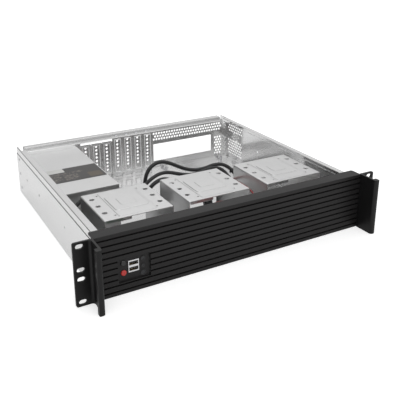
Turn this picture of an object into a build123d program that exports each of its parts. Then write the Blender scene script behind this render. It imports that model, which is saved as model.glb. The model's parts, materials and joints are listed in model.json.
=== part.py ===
from build123d import *
import os
from math import cos, pi, radians, sin, tan

# A two-unit rack case, open on top, seen with +Y running from the front panel to the rear.
# Lengths are millimetres. The rack plane is the front face of the mounting ears.

# Overall sizes
body_width = 420.0
panel_overhang = 5.0
ear_width = 26.3
unit_height = 88.0
cover_drop = 4.0
case_depth = 400.0
handle_reach = 32.0
sheet = 1.2
bend = 0.8
seat_gap = 0.3
past = 1.0

panel_width = body_width + 2 * panel_overhang
rack_width = panel_width + 2 * ear_width
body_height = unit_height - cover_drop
face_y = (handle_reach - case_depth) / 2
rear_y = face_y + case_depth
inner_half = body_width / 2 - sheet

# Front panel
panel_depth = 20.0
panel_web = 5.0
panel_lip = 2.2
lower_lip_depth = 8.0
panel_corner = 3.0
panel_round = 0.8
groove_pitch = 8.4
groove_width = 2.4
groove_depth = 3.0
window_inset = 30.5
window_width = 44.5
window_bottom = 17.0
window_height = 33.5
window_depth = 2.8
boss_diameter = 8.0
boss_inset = 20.0

# Ears and handles
ear_thickness = 3.0
ear_corner = 3.0
handle_plate = 3.0
nose_width = 8.0
nose_depth = 8.0
ear_fillet = 4.0
leg_thickness = 2.6
leg_length = 28.0
leg_bottom = 10.0
leg_height = 60.0
leg_screw_pitch = 40.0
rack_slot_inset = 8.75
rack_slot_length = 10.3
rack_slot_width = 6.8
rack_hole_edge = 5.9
rack_hole_inner = 6.35

# Tray
joggle_height = 10.0
top_flange = 10.0
front_setback = 8.3
rail_hole = 4.0
rail_hole_height = 43.0
rail_hole_depths = (136.0, 266.0, 339.0)

# Hexagonal perforation, shared by the tray's right wall and the rear wall
hex_hole = 4.0
hex_pitch = 5.6
side_hex_pitch = 6.2
side_hex_columns = 8
side_hex_from_wall = 53.0
side_hex_bottoms = (13.0, 60.0)
side_hex_rows = (6, 3)

# Rear wall
rear_recess = 24.0
ledge_lip = 9.0
shelf_depth = 11.0
shelf_drop = 3.2
side_lip = 12.0
foot_flange = 20.0
wall_step_drop = 12.0
slot_count_most = 7
slot_pitch = 20.32
slot_from_io = 12.08
slot_opening = 10.4
slot_bottom = 12.0
slot_top_drop = 9.0
slot_rim = 1.3
slot_rim_height = 1.2
io_from_column = 17.5
io_width = 128.5
io_bottom = 19.5
io_height = 34.0
vent_inset = 1.5
vent_columns = 27
vent_rows = 3
vent_drop = 21.0
vent_row_pitch = 5.8
strip_gap = 9.5
strip_columns = 3
strip_rows = 7
strip_bottom = 12.5

# Set-back field of the first slots, and the rail in front of the wall's foot
pocket_slots = 3
pocket_setback = 2.0
pocket_drop = 11.0
pocket_strip = 5.5
pocket_top_margin = 3.9
rail_gap = 1.0
rail_height = 5.8
rail_foot = 4.0
rail_window_width = 14.0
rail_window_height = 3.4
rail_end_gap = 3.0

# Slot covers
cover_width = 18.4
cover_sheet = 0.8
cover_bottom = 6.0
cover_fold = 0.4
cover_tab = 9.0
cover_hole = 4.4
cover_hole_pitch = 7.0
cover_hole_count = 8
cover_top_hole = 11.5
front_tab = 6.0
screw_from_tab = 1.0

# Power supply
psu_width = 99.0
psu_headroom = 10.0
psu_depth = 198.0
psu_wall_gap = 1.3
psu_wall = 1.0
fan_size = 60.0
fan_thickness = 20.0
fan_bore = 57.0
fan_margin = 4.0
fan_screw_spacing = 50.0
fan_screw_reach = 6.0
fan_strut = 3.0
fan_shaft = 3.0
hub_diameter = 26.0
blade_count = 7
blade_gap = 1.2
blade_thickness = 1.4
blade_pitch = 38.0
grille_hole = 6.4
grille_pitch = 7.6
inlet_width = 27.0
inlet_height = 20.0
inlet_depth = 22.0
inlet_wall = 2.4
inlet_rim = 1.4
inlet_pin_spacing = 7.0
inlet_pin_setback = 4.0
inlet_clearance = 0.3
inlet_lift = 8.0
inlet_pin = 2.0
inlet_pin_height = 4.0
psu_opening_inset = 2.0
rocker_width = 11.0
rocker_radius = 8.0
rocker_tilt = 8.0
rocker_crown = 2.2
rocker_sink = 0.4
rocker_gap = 0.25
rocker_pin = 2.0
rocker_wall = 1.2
rocker_frame = 2.4
rocker_rim_height = 1.6
rocker_body_depth = 9.0
pin_clearance = 0.06
label_width = 96.0
label_length = 58.0
label_from_front = 46.0
label_sheet = 0.25
grommet_diameter = 16.0
grommet_lip = 2.0
grommet_groove = 1.6
grommet_from_front = 17.0
grommet_lift = 24.0

# Drive cages
cage_width = 103.0
cage_depth = 95.0
cage_top_drop = 6.5
cage_front = 59.0
cage_gap_shares = (0.39, 0.115, 0.244)
cage_foot = 9.0
cage_foot_share = 0.2
cage_lip = 4.0
cage_lip_length = 37.0
raised_width = 56.0
raised_margin = 4.5
raised_height = 0.5
cage_hole = 7.4
cage_hole_inset = 10.0
cage_hole_rows = (24.0, 49.0, 74.3)
cage_pin_hole = 3.2
cage_pin_inset_x = 20.5
cage_pin_inset_y = 11.5
emboss_size = 50.0
emboss_corner = 5.0
emboss_inner = 24.0
emboss_inner_corner = 3.0
emboss_height = 0.8
drive_hole_levels = (9.0, 44.0)
drive_hole_pitch = 60.3

# Bulkhead behind the front panel
bulkhead_flange = 14.0
bulkhead_gap = 0.2
bulkhead_window_inset = 1.0

# Controls
button_diameter = 7.5
button_gap = 0.2
button_travel = 1.0
button_proud = 1.6
collar_diameter = 10.0
collar_thickness = 1.2
button_round = 0.6
button_inset = 7.8
power_button_rise = 26.2
reset_button_rise = 12.2
usb_inset = 21.5
usb_rise = 19.5
usb_width = 14.6
usb_height = 16.6
usb_proud = 1.2
port_width = 12.5
port_height = 5.1
port_pitch = 8.0
port_depth = 9.0
tongue_rise = 0.9
tongue_half = 0.9
tongue_inset = 1.0
tongue_setback = 0.8
lamp_inset = 34.8
lamp_rises = (26.2, 15.7, 5.5)
lamp_diameters = (4.2, 3.0, 5.6)
bezel_wall = 1.1
bezel_proud = 0.6
bezel_tail = 1.0
pipe_proud = 0.2
board_thickness = 1.6
board_spacer = 3.0
spacer_diameter = 4.0
board_margin = 5.0
switch_size = 6.0
switch_height = 3.0
stem_diameter = 3.2
header_depth = 8.0
header_inset = 34.5
header_rise = 17.0

# Motherboard standoffs
standoff_height = 6.5
standoff_across = 5.5
standoff_bore = 1.25
standoff_bore_depth = 6.0
standoff_from_wall = 20.3
standoff_offsets = (0.0, 124.46, 281.94)
standoff_rows_from_rear = (10.16, 165.1)

# Fasteners
screw_head = 6.0
screw_head_height = 1.6
screw_shank = 3.0
shank_play = 0.1
rivet_head = 5.0
rivet_head_height = 0.8
rivet_shank = 3.2
rivet_heights = (14.0, 40.0, 66.0)

# Leads
main_lead_diameter = 6.4
processor_lead_diameter = 6.0
drive_lead_diameter = 6.4
cage_lead_diameter = 5.6
signal_lead_diameter = 3.6
signal_lead_shift = 3.0
sensor_lead_diameter = 2.8
sensor_lead_shift = 4.0
plug_length = 14.0
main_plug_width = 22.0
main_plug_height = 10.0
processor_plug_side = 10.0
flat_plug_width = 20.0
flat_plug_height = 7.0
signal_plug_width = 12.0
signal_plug_height = 6.0

# Values that follow from those above
inner_width = 2 * inner_half
psu_height = body_height - sheet - psu_headroom
cage_top = body_height - cage_top_drop
wall_step_height = body_height - wall_step_drop
slot_top = body_height - slot_top_drop
vent_bottom = body_height - vent_drop
shelf_underside = body_height - sheet - shelf_drop
window_left = -panel_width / 2 + window_inset
button_x = window_left + button_inset
power_button_z = window_bottom + power_button_rise
reset_button_z = window_bottom + reset_button_rise
usb_x = window_left + usb_inset
usb_z = window_bottom + usb_rise
lamp_x = window_left + lamp_inset
lamp_heights = [window_bottom + rise for rise in lamp_rises]
first_column = inner_half - standoff_from_wall
io_left = first_column - io_from_column - io_width


def at(x, depth, z):
    """Place given by its distance behind the rack plane."""
    return Pos(x, face_y + depth, z)


def box_from(x0, x1, depth0, depth1, z0, z1):
    """Box between two corners, with depths measured behind the rack plane."""
    middle = at((x0 + x1) / 2, (depth0 + depth1) / 2, (z0 + z1) / 2)
    return middle * Box(x1 - x0, depth1 - depth0, z1 - z0)


def folded_sheet(points, thickness=sheet, radius=bend):
    """Face of a folded sheet. The points run along one side, and the metal lies to their left."""
    corners = [Vector(*point) for point in points]
    runs = [(b - a).normalized() for a, b in zip(corners, corners[1:])]
    normals = [Vector(-run.Y, run.X) for run in runs]
    other = [corners[0] + normals[0] * thickness]
    near_radii, far_radii = [], []
    for corner, before, after, run, next_run in zip(
        corners[1:], normals, normals[1:], runs, runs[1:]
    ):
        other.append(corner + (before + after) * (thickness / (1 + before.dot(after))))
        turns_left = run.X * next_run.Y - run.Y * next_run.X > 0
        near_radii.append(radius + thickness if turns_left else radius)
        far_radii.append(radius if turns_left else radius + thickness)
    other.append(corners[-1] + normals[-1] * thickness)
    near = FilletPolyline(*corners, radius=near_radii)
    far = FilletPolyline(*other, radius=far_radii)
    ends = [Line(corners[0], other[0]), Line(corners[-1], other[-1])]
    return make_face(Wire.combine([*near.edges(), *far.edges(), *ends])[0])


def hex_field(columns, rows, pitch, row_pitch, across, depth):
    """Staggered hexagonal cutters whose axes run along local Z."""
    hexagon = RegularPolygon(across / 2, 6, major_radius=False, rotation=30)
    places = [
        ((column + 0.5 * (row % 2)) * pitch, row * row_pitch)
        for row in range(rows)
        for column in range(columns)
    ]
    return [extrude(Pos(x, z, -depth / 2) * hexagon, amount=depth) for x, z in places]


def facing_rear(x, depth, z):
    """Frame whose local X and Y run along the case's X and Z."""
    return Plane(origin=(x, face_y + depth, z), x_dir=(1, 0, 0), z_dir=(0, -1, 0))


def across(x):
    """Plane of the case's sections, whose local X and Y run along its Y and Z."""
    return Plane(origin=(x, 0, 0), x_dir=(0, 1, 0), z_dir=(1, 0, 0))


def facing_side(x, depth, z):
    """Frame whose local X and Y run along the case's Y and Z."""
    return Plane(origin=(x, face_y + depth, z), x_dir=(0, 1, 0), z_dir=(1, 0, 0))


def flat_screw(diameter=screw_head, height=screw_head_height, shank=screw_shank, reach=sheet):
    """Low screw whose head stands on local Z = 0 and whose shank goes down through the sheet."""
    head = Pos(0, 0, height / 2) * Cylinder(diameter / 2, height)
    return head + Pos(0, 0, -reach / 2) * Cylinder(shank / 2, reach)


# Front panel


def control_holes():
    """Openings of the control window, each a little wider than what passes through it."""
    through = panel_web * 2
    holes = []
    for z in (power_button_z, reset_button_z):
        bore = Cylinder(button_diameter / 2 + button_gap, through)
        holes.append(at(button_x, 0, z) * Rot(90, 0, 0) * bore)
    for z, diameter in zip(lamp_heights, lamp_diameters):
        bore = Cylinder(diameter / 2 + bezel_wall, through)
        holes.append(at(lamp_x, 0, z) * Rot(90, 0, 0) * bore)
    opening = Box(usb_width + 2 * button_gap, through, usb_height + 2 * button_gap)
    holes.append(at(usb_x, 0, usb_z) * opening)
    return holes


def front_panel():
    half = panel_width / 2
    web = box_from(-half, half, 0, panel_web, 0, unit_height)
    web = fillet(web.edges().filter_by(Axis.X).group_by(Axis.Y)[0], panel_round)
    groove_count = int((unit_height - panel_lip) / groove_pitch)
    first_groove = unit_height / 2 - groove_pitch * (groove_count - 1) / 2
    for row in range(groove_count):
        z = first_groove + row * groove_pitch
        low, high = z - groove_width / 2, z + groove_width / 2
        web -= box_from(-half - past, half + past, -past, groove_depth, low, high)
    right, top = window_left + window_width, window_bottom + window_height
    web += box_from(window_left, right, 0, panel_web, window_bottom, top)
    web -= box_from(window_left, right, -past, window_depth, window_bottom, top)
    web -= control_holes()
    upper = box_from(-half, half, panel_web, panel_depth, unit_height - panel_lip, unit_height)
    upper = fillet(upper.edges().filter_by(Axis.Z).group_by(Axis.Y)[-1], panel_corner)
    lower = box_from(-half, half, panel_web, lower_lip_depth, 0, panel_lip)
    panel = web + upper + lower
    for x, z in panel_boss_places():
        length = front_setback - panel_web
        panel += at(x, panel_web + length / 2, z) * Rot(90, 0, 0) * Cylinder(boss_diameter / 2, length)
        panel -= at(x, front_setback, z) * Rot(90, 0, 0) * Cylinder(screw_shank / 2, 2 * length)
    return panel


def panel_boss_places():
    """Bosses behind the panel, on which the bulkhead is screwed."""
    reach = body_width / 2 - boss_inset
    return [(x, unit_height / 2) for x in (-reach, 0, reach)]


def panel_screws():
    reach = sheet + (front_setback - panel_web) - screw_shank / 2
    screw = flat_screw(shank=screw_shank - shank_play, reach=reach)
    place = [at(x, front_setback + sheet, z) for x, z in panel_boss_places()]
    return [spot * Rot(-90, 0, 0) * screw for spot in place]


# Ears and handles


def handle_plan():
    """Plan of the right-hand profile: ear, forward plate and rounded grip."""
    inner = panel_width / 2
    ear = Pos((inner + rack_width / 2) / 2, ear_thickness / 2)
    ear *= Rectangle(rack_width / 2 - inner, ear_thickness)
    nose_back = nose_depth - handle_reach
    plate_length = ear_thickness - nose_back
    plate = Pos(inner + handle_plate / 2, nose_back + plate_length / 2)
    plate *= Rectangle(handle_plate, plate_length)
    nose = Pos(inner + nose_width / 2, -handle_reach + nose_depth / 2)
    nose *= Rectangle(nose_width, nose_depth)
    front = nose.vertices().group_by(Axis.Y)[0].sort_by(Axis.X)
    nose = fillet(front[0], nose_depth * 0.48)
    nose = fillet(nose.vertices().group_by(Axis.X)[-1], nose_depth * 0.2)
    plan = ear + plate + nose
    outer_face = inner + handle_plate
    inside = [v for v in plan.vertices() if abs(v.X - outer_face) < 0.01 and abs(v.Y) < 0.01]
    return fillet(inside, ear_fillet)


def right_ear_handle():
    profile = Pos(0, face_y, 0) * extrude(handle_plan(), amount=unit_height)
    tips = profile.edges().filter_by(Axis.Y).group_by(Axis.X)[-1]
    profile = fillet(tips, ear_corner)
    outer = body_width / 2 + seat_gap + leg_thickness
    leg = box_from(
        body_width / 2 + seat_gap, outer, ear_thickness, leg_length, leg_bottom, leg_bottom + leg_height
    )
    bridge = box_from(
        body_width / 2 + seat_gap, panel_width / 2, panel_web + bulkhead_gap,
        panel_web + bulkhead_gap + leg_thickness, leg_bottom, leg_bottom + leg_height,
    )
    root = box_from(
        panel_width / 2, panel_width / 2 + handle_plate, ear_thickness,
        panel_web + bulkhead_gap + leg_thickness, leg_bottom, leg_bottom + leg_height,
    )
    leg -= box_from(
        outer - 2 * leg_thickness, outer + past, 0, panel_web + bulkhead_gap, 0, unit_height
    )
    profile += leg + bridge + root
    for z in rack_slot_heights():
        frame = facing_rear(rack_width / 2 - rack_slot_inset, 0, z)
        slot = frame * SlotOverall(rack_slot_length, rack_slot_width)
        profile -= extrude(slot, amount=ear_thickness * 2, both=True)
    for z in leg_screw_heights():
        profile -= facing_side(outer, leg_screw_depth(), z) * Cylinder(screw_shank / 2, leg_thickness * 4)
    return profile


def rack_slot_heights():
    middle, outer = unit_height / 2, unit_height / 2 - rack_hole_edge
    return [middle + offset for offset in (-outer, -rack_hole_inner, rack_hole_inner, outer)]


def leg_screw_heights():
    middle = leg_bottom + leg_height / 2
    return [middle - leg_screw_pitch / 2, middle + leg_screw_pitch / 2]


def leg_screw_depth():
    return (leg_length + front_setback) / 2


def ear_screws(side):
    outer = body_width / 2 + seat_gap + leg_thickness
    reach = leg_thickness + seat_gap + sheet
    screw = flat_screw(shank=screw_shank - shank_play, reach=reach)
    turn = Rot(0, 90 * side, 0)
    return [at(side * outer, leg_screw_depth(), z) * turn * screw for z in leg_screw_heights()]


# Tray


def tray_profile():
    """Floor, side walls stepped in for the cover's skirt, and inward top flanges."""
    half = body_width / 2
    step_in = half - sheet
    tip = step_in - top_flange
    shoulder = body_height - joggle_height
    right = [
        (half, 0),
        (half, shoulder - sheet),
        (step_in, shoulder),
        (step_in, body_height),
        (tip, body_height),
    ]
    left = [(-x, z) for x, z in reversed(right)]
    return folded_sheet(left + right)


def tray_length():
    return case_depth - front_setback


def wall_face_depth():
    """Depth of the rear wall's front face."""
    return case_depth - rear_recess


def chassis_tray():
    start = facing_rear(0, front_setback, 0)
    tray = extrude(start * tray_profile(), amount=-tray_length())
    flange_end = wall_face_depth() - seat_gap
    for side in (-1, 1):
        low, high = sorted((side * (inner_half - top_flange - past), side * (inner_half - 2 * sheet)))
        above = body_height - joggle_height + sheet
        tray -= box_from(low, high, flange_end, case_depth + past, above, body_height + past)
        tray -= box_from(low, high, 0, front_setback + bulkhead_flange, above, body_height + past)
        for depth in rail_hole_depths:
            bore = Cylinder(rail_hole / 2, sheet * 4)
            tray -= facing_side(side * body_width / 2, depth, rail_hole_height) * bore
        for z in leg_screw_heights():
            bore = Cylinder(screw_shank / 2, sheet * 4)
            tray -= facing_side(side * body_width / 2, leg_screw_depth(), z) * bore
        for z in rivet_heights:
            bore = Cylinder(rivet_shank / 2, sheet * 4)
            tray -= facing_side(side * body_width / 2, rivet_depth(), z) * bore
    for bottom, rows in zip(side_hex_bottoms, side_hex_rows):
        row_pitch = side_hex_pitch * sin(pi / 3)
        field = hex_field(side_hex_columns, rows, side_hex_pitch, row_pitch, hex_hole, sheet * 4)
        frame = facing_side(body_width / 2, wall_face_depth() - side_hex_from_wall, bottom)
        tray -= [frame * cutter for cutter in field]
    return tray


# Rear wall and slot covers


def slot_centres():
    """Slots laid out from the connector window towards the power supply, as many as fit."""
    nearest = io_left - slot_from_io
    room = nearest - cover_width / 2 - (psu_left() + psu_width)
    count = min(slot_count_most, 1 + int(room / slot_pitch))
    return [nearest - index * slot_pitch for index in reversed(range(count))]


def pocket_span():
    """Left and right of the set-back field that holds the first slots."""
    first = slot_centres()[0] - slot_pitch / 2
    return first, first + pocket_slots * slot_pitch


def pocket_top():
    return body_height - pocket_drop


def wall_profile():
    """Foot turned back, upright, shelf for the covers' screws, ledge and its hanging lip."""
    back = face_y + wall_face_depth() + sheet
    return folded_sheet(
        [
            (back + foot_flange, 2 * sheet),
            (back, 2 * sheet),
            (back, shelf_underside),
            (back + shelf_depth, shelf_underside),
            (back + shelf_depth, body_height - sheet),
            (rear_y - sheet, body_height - sheet),
            (rear_y - sheet, body_height - ledge_lip),
        ]
    )


def wall_sides(half):
    """Strips that carry the upright out to the tray's walls, each with a lip for rivets."""
    front = wall_face_depth()
    back = front + sheet
    strips = []
    for side in (-1, 1):
        low, high = sorted((side * (half - past), side * inner_half))
        strips.append(box_from(low, high, front, back, 2 * sheet, wall_step_height))
        low, high = sorted((side * (inner_half - sheet), side * inner_half))
        strips.append(box_from(low, high, front, back + side_lip, 2 * sheet, wall_step_height))
    return strips


def set_back_pocket(wall):
    """Moves the field of the first slots back a little, and opens a strip above it."""
    left, right = pocket_span()
    front = wall_face_depth()
    back = front + sheet
    foot = 2 * sheet
    wall -= box_from(left, right, front - past, back, foot, pocket_top() + pocket_strip)
    field = box_from(left, right, front + pocket_setback, back + pocket_setback, foot, pocket_top())
    for x in (left, right - sheet):
        field += box_from(x, x + sheet, front, back + pocket_setback, foot, pocket_top())
    field += box_from(left, right, front, back + pocket_setback, pocket_top() - sheet, pocket_top())
    corner = back + pocket_setback
    field -= box_from(
        left - past, right + past, corner - cover_fold, corner + past,
        pocket_top() - cover_fold, pocket_top() + past,
    )
    return wall + field


def slot_rim_frame(x, front, top):
    """Low rim turned forward round one slot opening."""
    half = slot_opening / 2
    rim = box_from(
        x - half - slot_rim, x + half + slot_rim, front - slot_rim_height, front,
        slot_bottom - slot_rim, top + slot_rim,
    )
    return rim - box_from(x - half, x + half, front - 2 * slot_rim_height, front + past, slot_bottom, top)


def slot_openings(wall):
    """Seven openings with their rims, lower in the set-back field."""
    front = wall_face_depth()
    for index, x in enumerate(slot_centres()):
        in_pocket = index < pocket_slots
        plane = front + pocket_setback if in_pocket else front
        top = pocket_top() - pocket_top_margin if in_pocket else slot_top
        half = slot_opening / 2
        wall -= box_from(x - half, x + half, plane - past, plane + sheet + past, slot_bottom, top)
        wall += slot_rim_frame(x, plane, top)
        if not in_pocket:
            wall -= at(x, screw_depth(), shelf_underside) * Cylinder(screw_shank / 2, 4 * sheet)
    return wall


def rear_wall():
    front = wall_face_depth()
    back = front + sheet
    half = inner_half - top_flange - 2 * seat_gap
    wall = extrude(across(-half) * wall_profile(), amount=2 * half)
    wall += wall_sides(half)
    wall = slot_openings(set_back_pocket(wall))
    wall -= box_from(
        io_left, io_left + io_width, front - past, back + past, io_bottom, io_bottom + io_height
    )
    inset = psu_opening_inset
    wall -= box_from(
        psu_left() + inset, psu_left() + psu_width - inset, front - past, back + past,
        psu_bottom() + inset, psu_bottom() + psu_height - inset,
    )
    vents = hex_field(vent_columns, vent_rows, hex_pitch, vent_row_pitch, hex_hole, sheet * 4)
    frame = facing_rear(io_left + vent_inset, front, vent_bottom)
    wall -= [frame * cutter for cutter in vents]
    strip = hex_field(strip_columns, strip_rows, hex_pitch, hex_pitch, hex_hole, sheet * 4)
    frame = facing_rear(io_left + io_width + strip_gap, front, strip_bottom)
    wall -= [frame * cutter for cutter in strip]
    return wall


def slot_foot_rail():
    """Angle on the floor in front of the wall, with a window for each cover's foot."""
    back = wall_face_depth() - rail_gap
    front = back - sheet
    left, right = psu_left() + psu_width + rail_end_gap, inner_half - rail_end_gap
    top = sheet + rail_height
    rail = box_from(left, right, front, back, sheet, top)
    rail += box_from(left, right, front - rail_foot, front, sheet, 2 * sheet)
    middle = (top + 2 * sheet) / 2
    for x in slot_centres():
        rail -= at(x, back, middle) * Box(rail_window_width, 4 * sheet, rail_window_height)
    return rail


def cover_strip(x, front, points, top_hole):
    """Blanking strip of folded sheet with a column of octagonal holes."""
    profile = folded_sheet(points, cover_sheet, cover_fold)
    cover = extrude(across(x - cover_width / 2) * profile, amount=cover_width)
    octagon = RegularPolygon(cover_hole / 2, 8, rotation=22.5)
    for index in range(cover_hole_count):
        frame = facing_rear(x, front, top_hole - index * cover_hole_pitch)
        cover -= extrude(frame * octagon, amount=2 * cover_sheet, both=True)
    return cover


def slot_cover(x):
    """Blanking strip behind the wall, with a tab folded back under the shelf."""
    front = wall_face_depth() + sheet
    points = [
        (face_y + front + cover_tab, shelf_underside),
        (face_y + front, shelf_underside),
        (face_y + front, cover_bottom),
    ]
    cover = cover_strip(x, front, points, body_height - cover_top_hole)
    return cover - at(x, screw_depth(), shelf_underside) * Cylinder(screw_shank / 2, 4 * sheet)


def pocket_cover(x):
    """Lower strip behind the set-back field. Its tab lies forward on the field's top edge."""
    front = wall_face_depth() + sheet + pocket_setback
    points = [
        (face_y + front - front_tab, pocket_top()),
        (face_y + front, pocket_top()),
        (face_y + front, cover_bottom),
    ]
    return cover_strip(x, front, points, pocket_top() - cover_top_hole / 2)


def screw_depth():
    """Row of the screws that hold the covers' tabs under the shelf."""
    return wall_face_depth() + sheet + cover_tab / 2 + screw_from_tab


def slot_screws():
    screw = flat_screw(shank=screw_shank - shank_play, reach=sheet + cover_sheet)
    top = shelf_underside + sheet
    return [at(x, screw_depth(), top) * screw for x in slot_centres()[pocket_slots:]]


# Power supply


def psu_left():
    return -inner_half + psu_wall_gap


def psu_bottom():
    return sheet


def psu_front():
    return wall_face_depth() - psu_depth


def fan_centre():
    return psu_left() + fan_margin + fan_size / 2, psu_bottom() + psu_height / 2


def inlet_centre():
    right = psu_left() + psu_width
    return right - fan_margin - inlet_width / 2, psu_bottom() + inlet_lift + inlet_height / 2


def rocker_centre():
    x, z = inlet_centre()
    return x, z + inlet_height / 2 + 2 * rocker_radius


def psu_case():
    """Floor, sides and ends in one folded tray, with the grille punched in its rear face."""
    left, right = psu_left(), psu_left() + psu_width
    front, back = psu_front(), wall_face_depth()
    low, high = psu_bottom(), psu_bottom() + psu_height - psu_wall
    shell = box_from(left, right, front, back, low, high)
    shell -= box_from(
        left + psu_wall, right - psu_wall, front + psu_wall, back - psu_wall, low + psu_wall, high + past
    )
    fan_x, fan_z = fan_centre()
    shell -= [facing_rear(fan_x, back, fan_z) * cutter for cutter in grille_cutters()]
    x, z = inlet_centre()
    play = 2 * inlet_clearance
    shell -= at(x, back, z) * Box(inlet_width + play, 4 * psu_wall, inlet_height + play)
    x, z = rocker_centre()
    hole_width = rocker_width + 2 * (rocker_wall + pin_clearance)
    hole_length = 2 * (rocker_radius + rocker_wall + pin_clearance)
    shell -= at(x, back, z) * Box(hole_width, 4 * psu_wall, hole_length)
    for x, z in fan_screw_places():
        shell -= at(x, back, z) * Rot(90, 0, 0) * Cylinder(screw_shank / 2, 4 * psu_wall)
    exit_x, exit_depth, exit_z = harness_exit()
    bore = Cylinder(grommet_diameter / 2 - grommet_groove, 4 * psu_wall)
    return shell - facing_side(exit_x, exit_depth, exit_z) * bore


def fan_screw_places():
    x, z = fan_centre()
    half = fan_screw_spacing / 2
    return [(x + across_x * half, z + up * half) for across_x in (-1, 1) for up in (-1, 1)]


def psu_screws():
    reach = psu_wall + fan_screw_reach
    screw = flat_screw(shank=screw_shank - shank_play, reach=reach)
    return [at(x, wall_face_depth(), z) * Rot(-90, 0, 0) * screw for x, z in fan_screw_places()]


def grille_cutters():
    """Hexagons on a honeycomb, kept inside the fan's bore."""
    reach = fan_bore / 2 - grille_hole / 2
    span = int(fan_bore / grille_pitch)
    hexagon = RegularPolygon(grille_hole / 2, 6, major_radius=False, rotation=30)
    cutters = []
    for row in range(-span, span + 1):
        for column in range(-span, span + 1):
            x = (column + 0.5 * (row % 2)) * grille_pitch
            z = row * grille_pitch * sin(pi / 3)
            if (x * x + z * z) ** 0.5 < reach:
                cutters.append(extrude(Pos(x, z, -2 * psu_wall) * hexagon, amount=4 * psu_wall))
    return cutters


def psu_cover():
    """Flat lid that closes the power supply's tray."""
    left, right = psu_left(), psu_left() + psu_width
    front, back = psu_front(), wall_face_depth()
    top = psu_bottom() + psu_height
    return box_from(left, right, front, back, top - psu_wall, top)


def psu_label():
    left = psu_left() + (psu_width - label_width) / 2
    front = psu_front() + label_from_front
    top = psu_bottom() + psu_height
    return box_from(left, left + label_width, front, front + label_length, top, top + label_sheet)


def fan_frame():
    """Square frame with a round duct, four struts and the hub that carries the shaft."""
    x, z = fan_centre()
    back = wall_face_depth() - psu_wall
    half = fan_size / 2
    frame = box_from(x - half, x + half, back - fan_thickness, back, z - half, z + half)
    frame = fillet(frame.edges().filter_by(Axis.Y), fan_margin)
    turned = Rot(90, 0, 0)
    frame -= at(x, back - fan_thickness / 2, z) * turned * Cylinder(fan_bore / 2, fan_thickness + 2)
    hub_place = at(x, back - fan_thickness + fan_strut / 2, z)
    hub = turned * Cylinder(hub_diameter / 2, fan_strut)
    for turn in (45, -45):
        hub += Rot(0, turn, 0) * Box(fan_bore + fan_strut / 2, fan_strut, 1.5 * fan_strut)
    frame += hub_place * hub
    frame -= hub_place * turned * Cylinder(fan_shaft / 2 + pin_clearance, 2 * fan_strut)
    for x, z in fan_screw_places():
        bore = Cylinder(screw_shank / 2, 2 * fan_screw_reach)
        frame -= at(x, back, z) * turned * bore
    return frame


def fan_rotor():
    """Hub with swept blades, turning on a shaft in the frame's hub."""
    x, z = fan_centre()
    length = fan_thickness - fan_strut - 2 * blade_gap
    start = wall_face_depth() - psu_wall - fan_thickness + fan_strut + blade_gap / 2
    middle = at(x, start + length / 2, z)
    turned = Rot(90, 0, 0)
    tip = fan_bore / 2 - blade_gap
    hub_radius = hub_diameter / 2 - blade_gap
    rotor = turned * Cylinder(hub_radius, length)
    root = hub_radius - blade_thickness
    blade = Pos(0, 0, (root + fan_bore) / 2) * Rot(0, 0, blade_pitch) * Box(
        blade_thickness, length, fan_bore - root
    )
    limit = turned * Cylinder(tip, length)
    for index in range(blade_count):
        rotor += (Rot(0, index * 360 / blade_count, 0) * blade) & limit
    shaft_length = length + fan_strut + blade_gap
    shaft = turned * Cylinder(fan_shaft / 2, shaft_length)
    shaft = Pos(0, (length - shaft_length) / 2 - blade_gap / 2, 0) * shaft
    return middle * (rotor + shaft)


def power_inlet():
    """Recessed three-pin inlet with its flange outside the rear face."""
    x, z = inlet_centre()
    back = wall_face_depth()
    half_w, half_h = inlet_width / 2, inlet_height / 2
    body = box_from(
        x - half_w, x + half_w, back - inlet_depth, back, z - half_h, z + half_h
    )
    rim = inlet_rim
    body += box_from(
        x - half_w - rim, x + half_w + rim, back, back + rim, z - half_h - rim, z + half_h + rim
    )
    floor = back - inlet_depth + inlet_wall
    well = box_from(
        x - half_w + inlet_wall, x + half_w - inlet_wall, floor, back + 2 * rim,
        z - half_h + inlet_wall, z + half_h - inlet_wall,
    )
    body -= chamfer(well.edges().filter_by(Axis.Y).group_by(Axis.Z)[-1], inlet_wall)
    half_pin, half_pin_height = inlet_pin / 2, inlet_pin_height / 2
    spread = inlet_pin_spacing
    for shift_x, shift_z in ((-spread, -half_pin), (spread, -half_pin), (0, inlet_wall)):
        body += box_from(
            x + shift_x - half_pin, x + shift_x + half_pin, floor, back - inlet_pin_setback,
            z + shift_z - half_pin_height, z + shift_z + half_pin_height,
        )
    return body


def rocker_housing():
    x, z = rocker_centre()
    back = wall_face_depth()
    half_w, half_l = rocker_width / 2 + rocker_wall, rocker_radius + rocker_wall
    rim = rocker_frame - rocker_wall
    housing = box_from(
        x - half_w - rim, x + half_w + rim, back, back + rocker_rim_height,
        z - half_l - rim, z + half_l + rim,
    )
    housing += box_from(x - half_w, x + half_w, back - rocker_body_depth, back, z - half_l, z + half_l)
    well_w, well_l = rocker_width / 2, rocker_radius + 2 * rocker_gap
    well_floor = back - rocker_body_depth + rocker_wall
    housing -= box_from(
        x - well_w, x + well_w, well_floor, back + 2 * rocker_rim_height, z - well_l, z + well_l
    )
    _, pivot, _ = rocker_pivot()
    bore = Cylinder(rocker_pin / 2 + pin_clearance, rocker_width + 4 * rocker_wall)
    return housing - facing_side(x, pivot, z) * bore


def rocker_pivot():
    """Pivot of the rocker, just inside the power supply's rear face."""
    x, z = rocker_centre()
    return x, wall_face_depth() - rocker_sink, z


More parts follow.
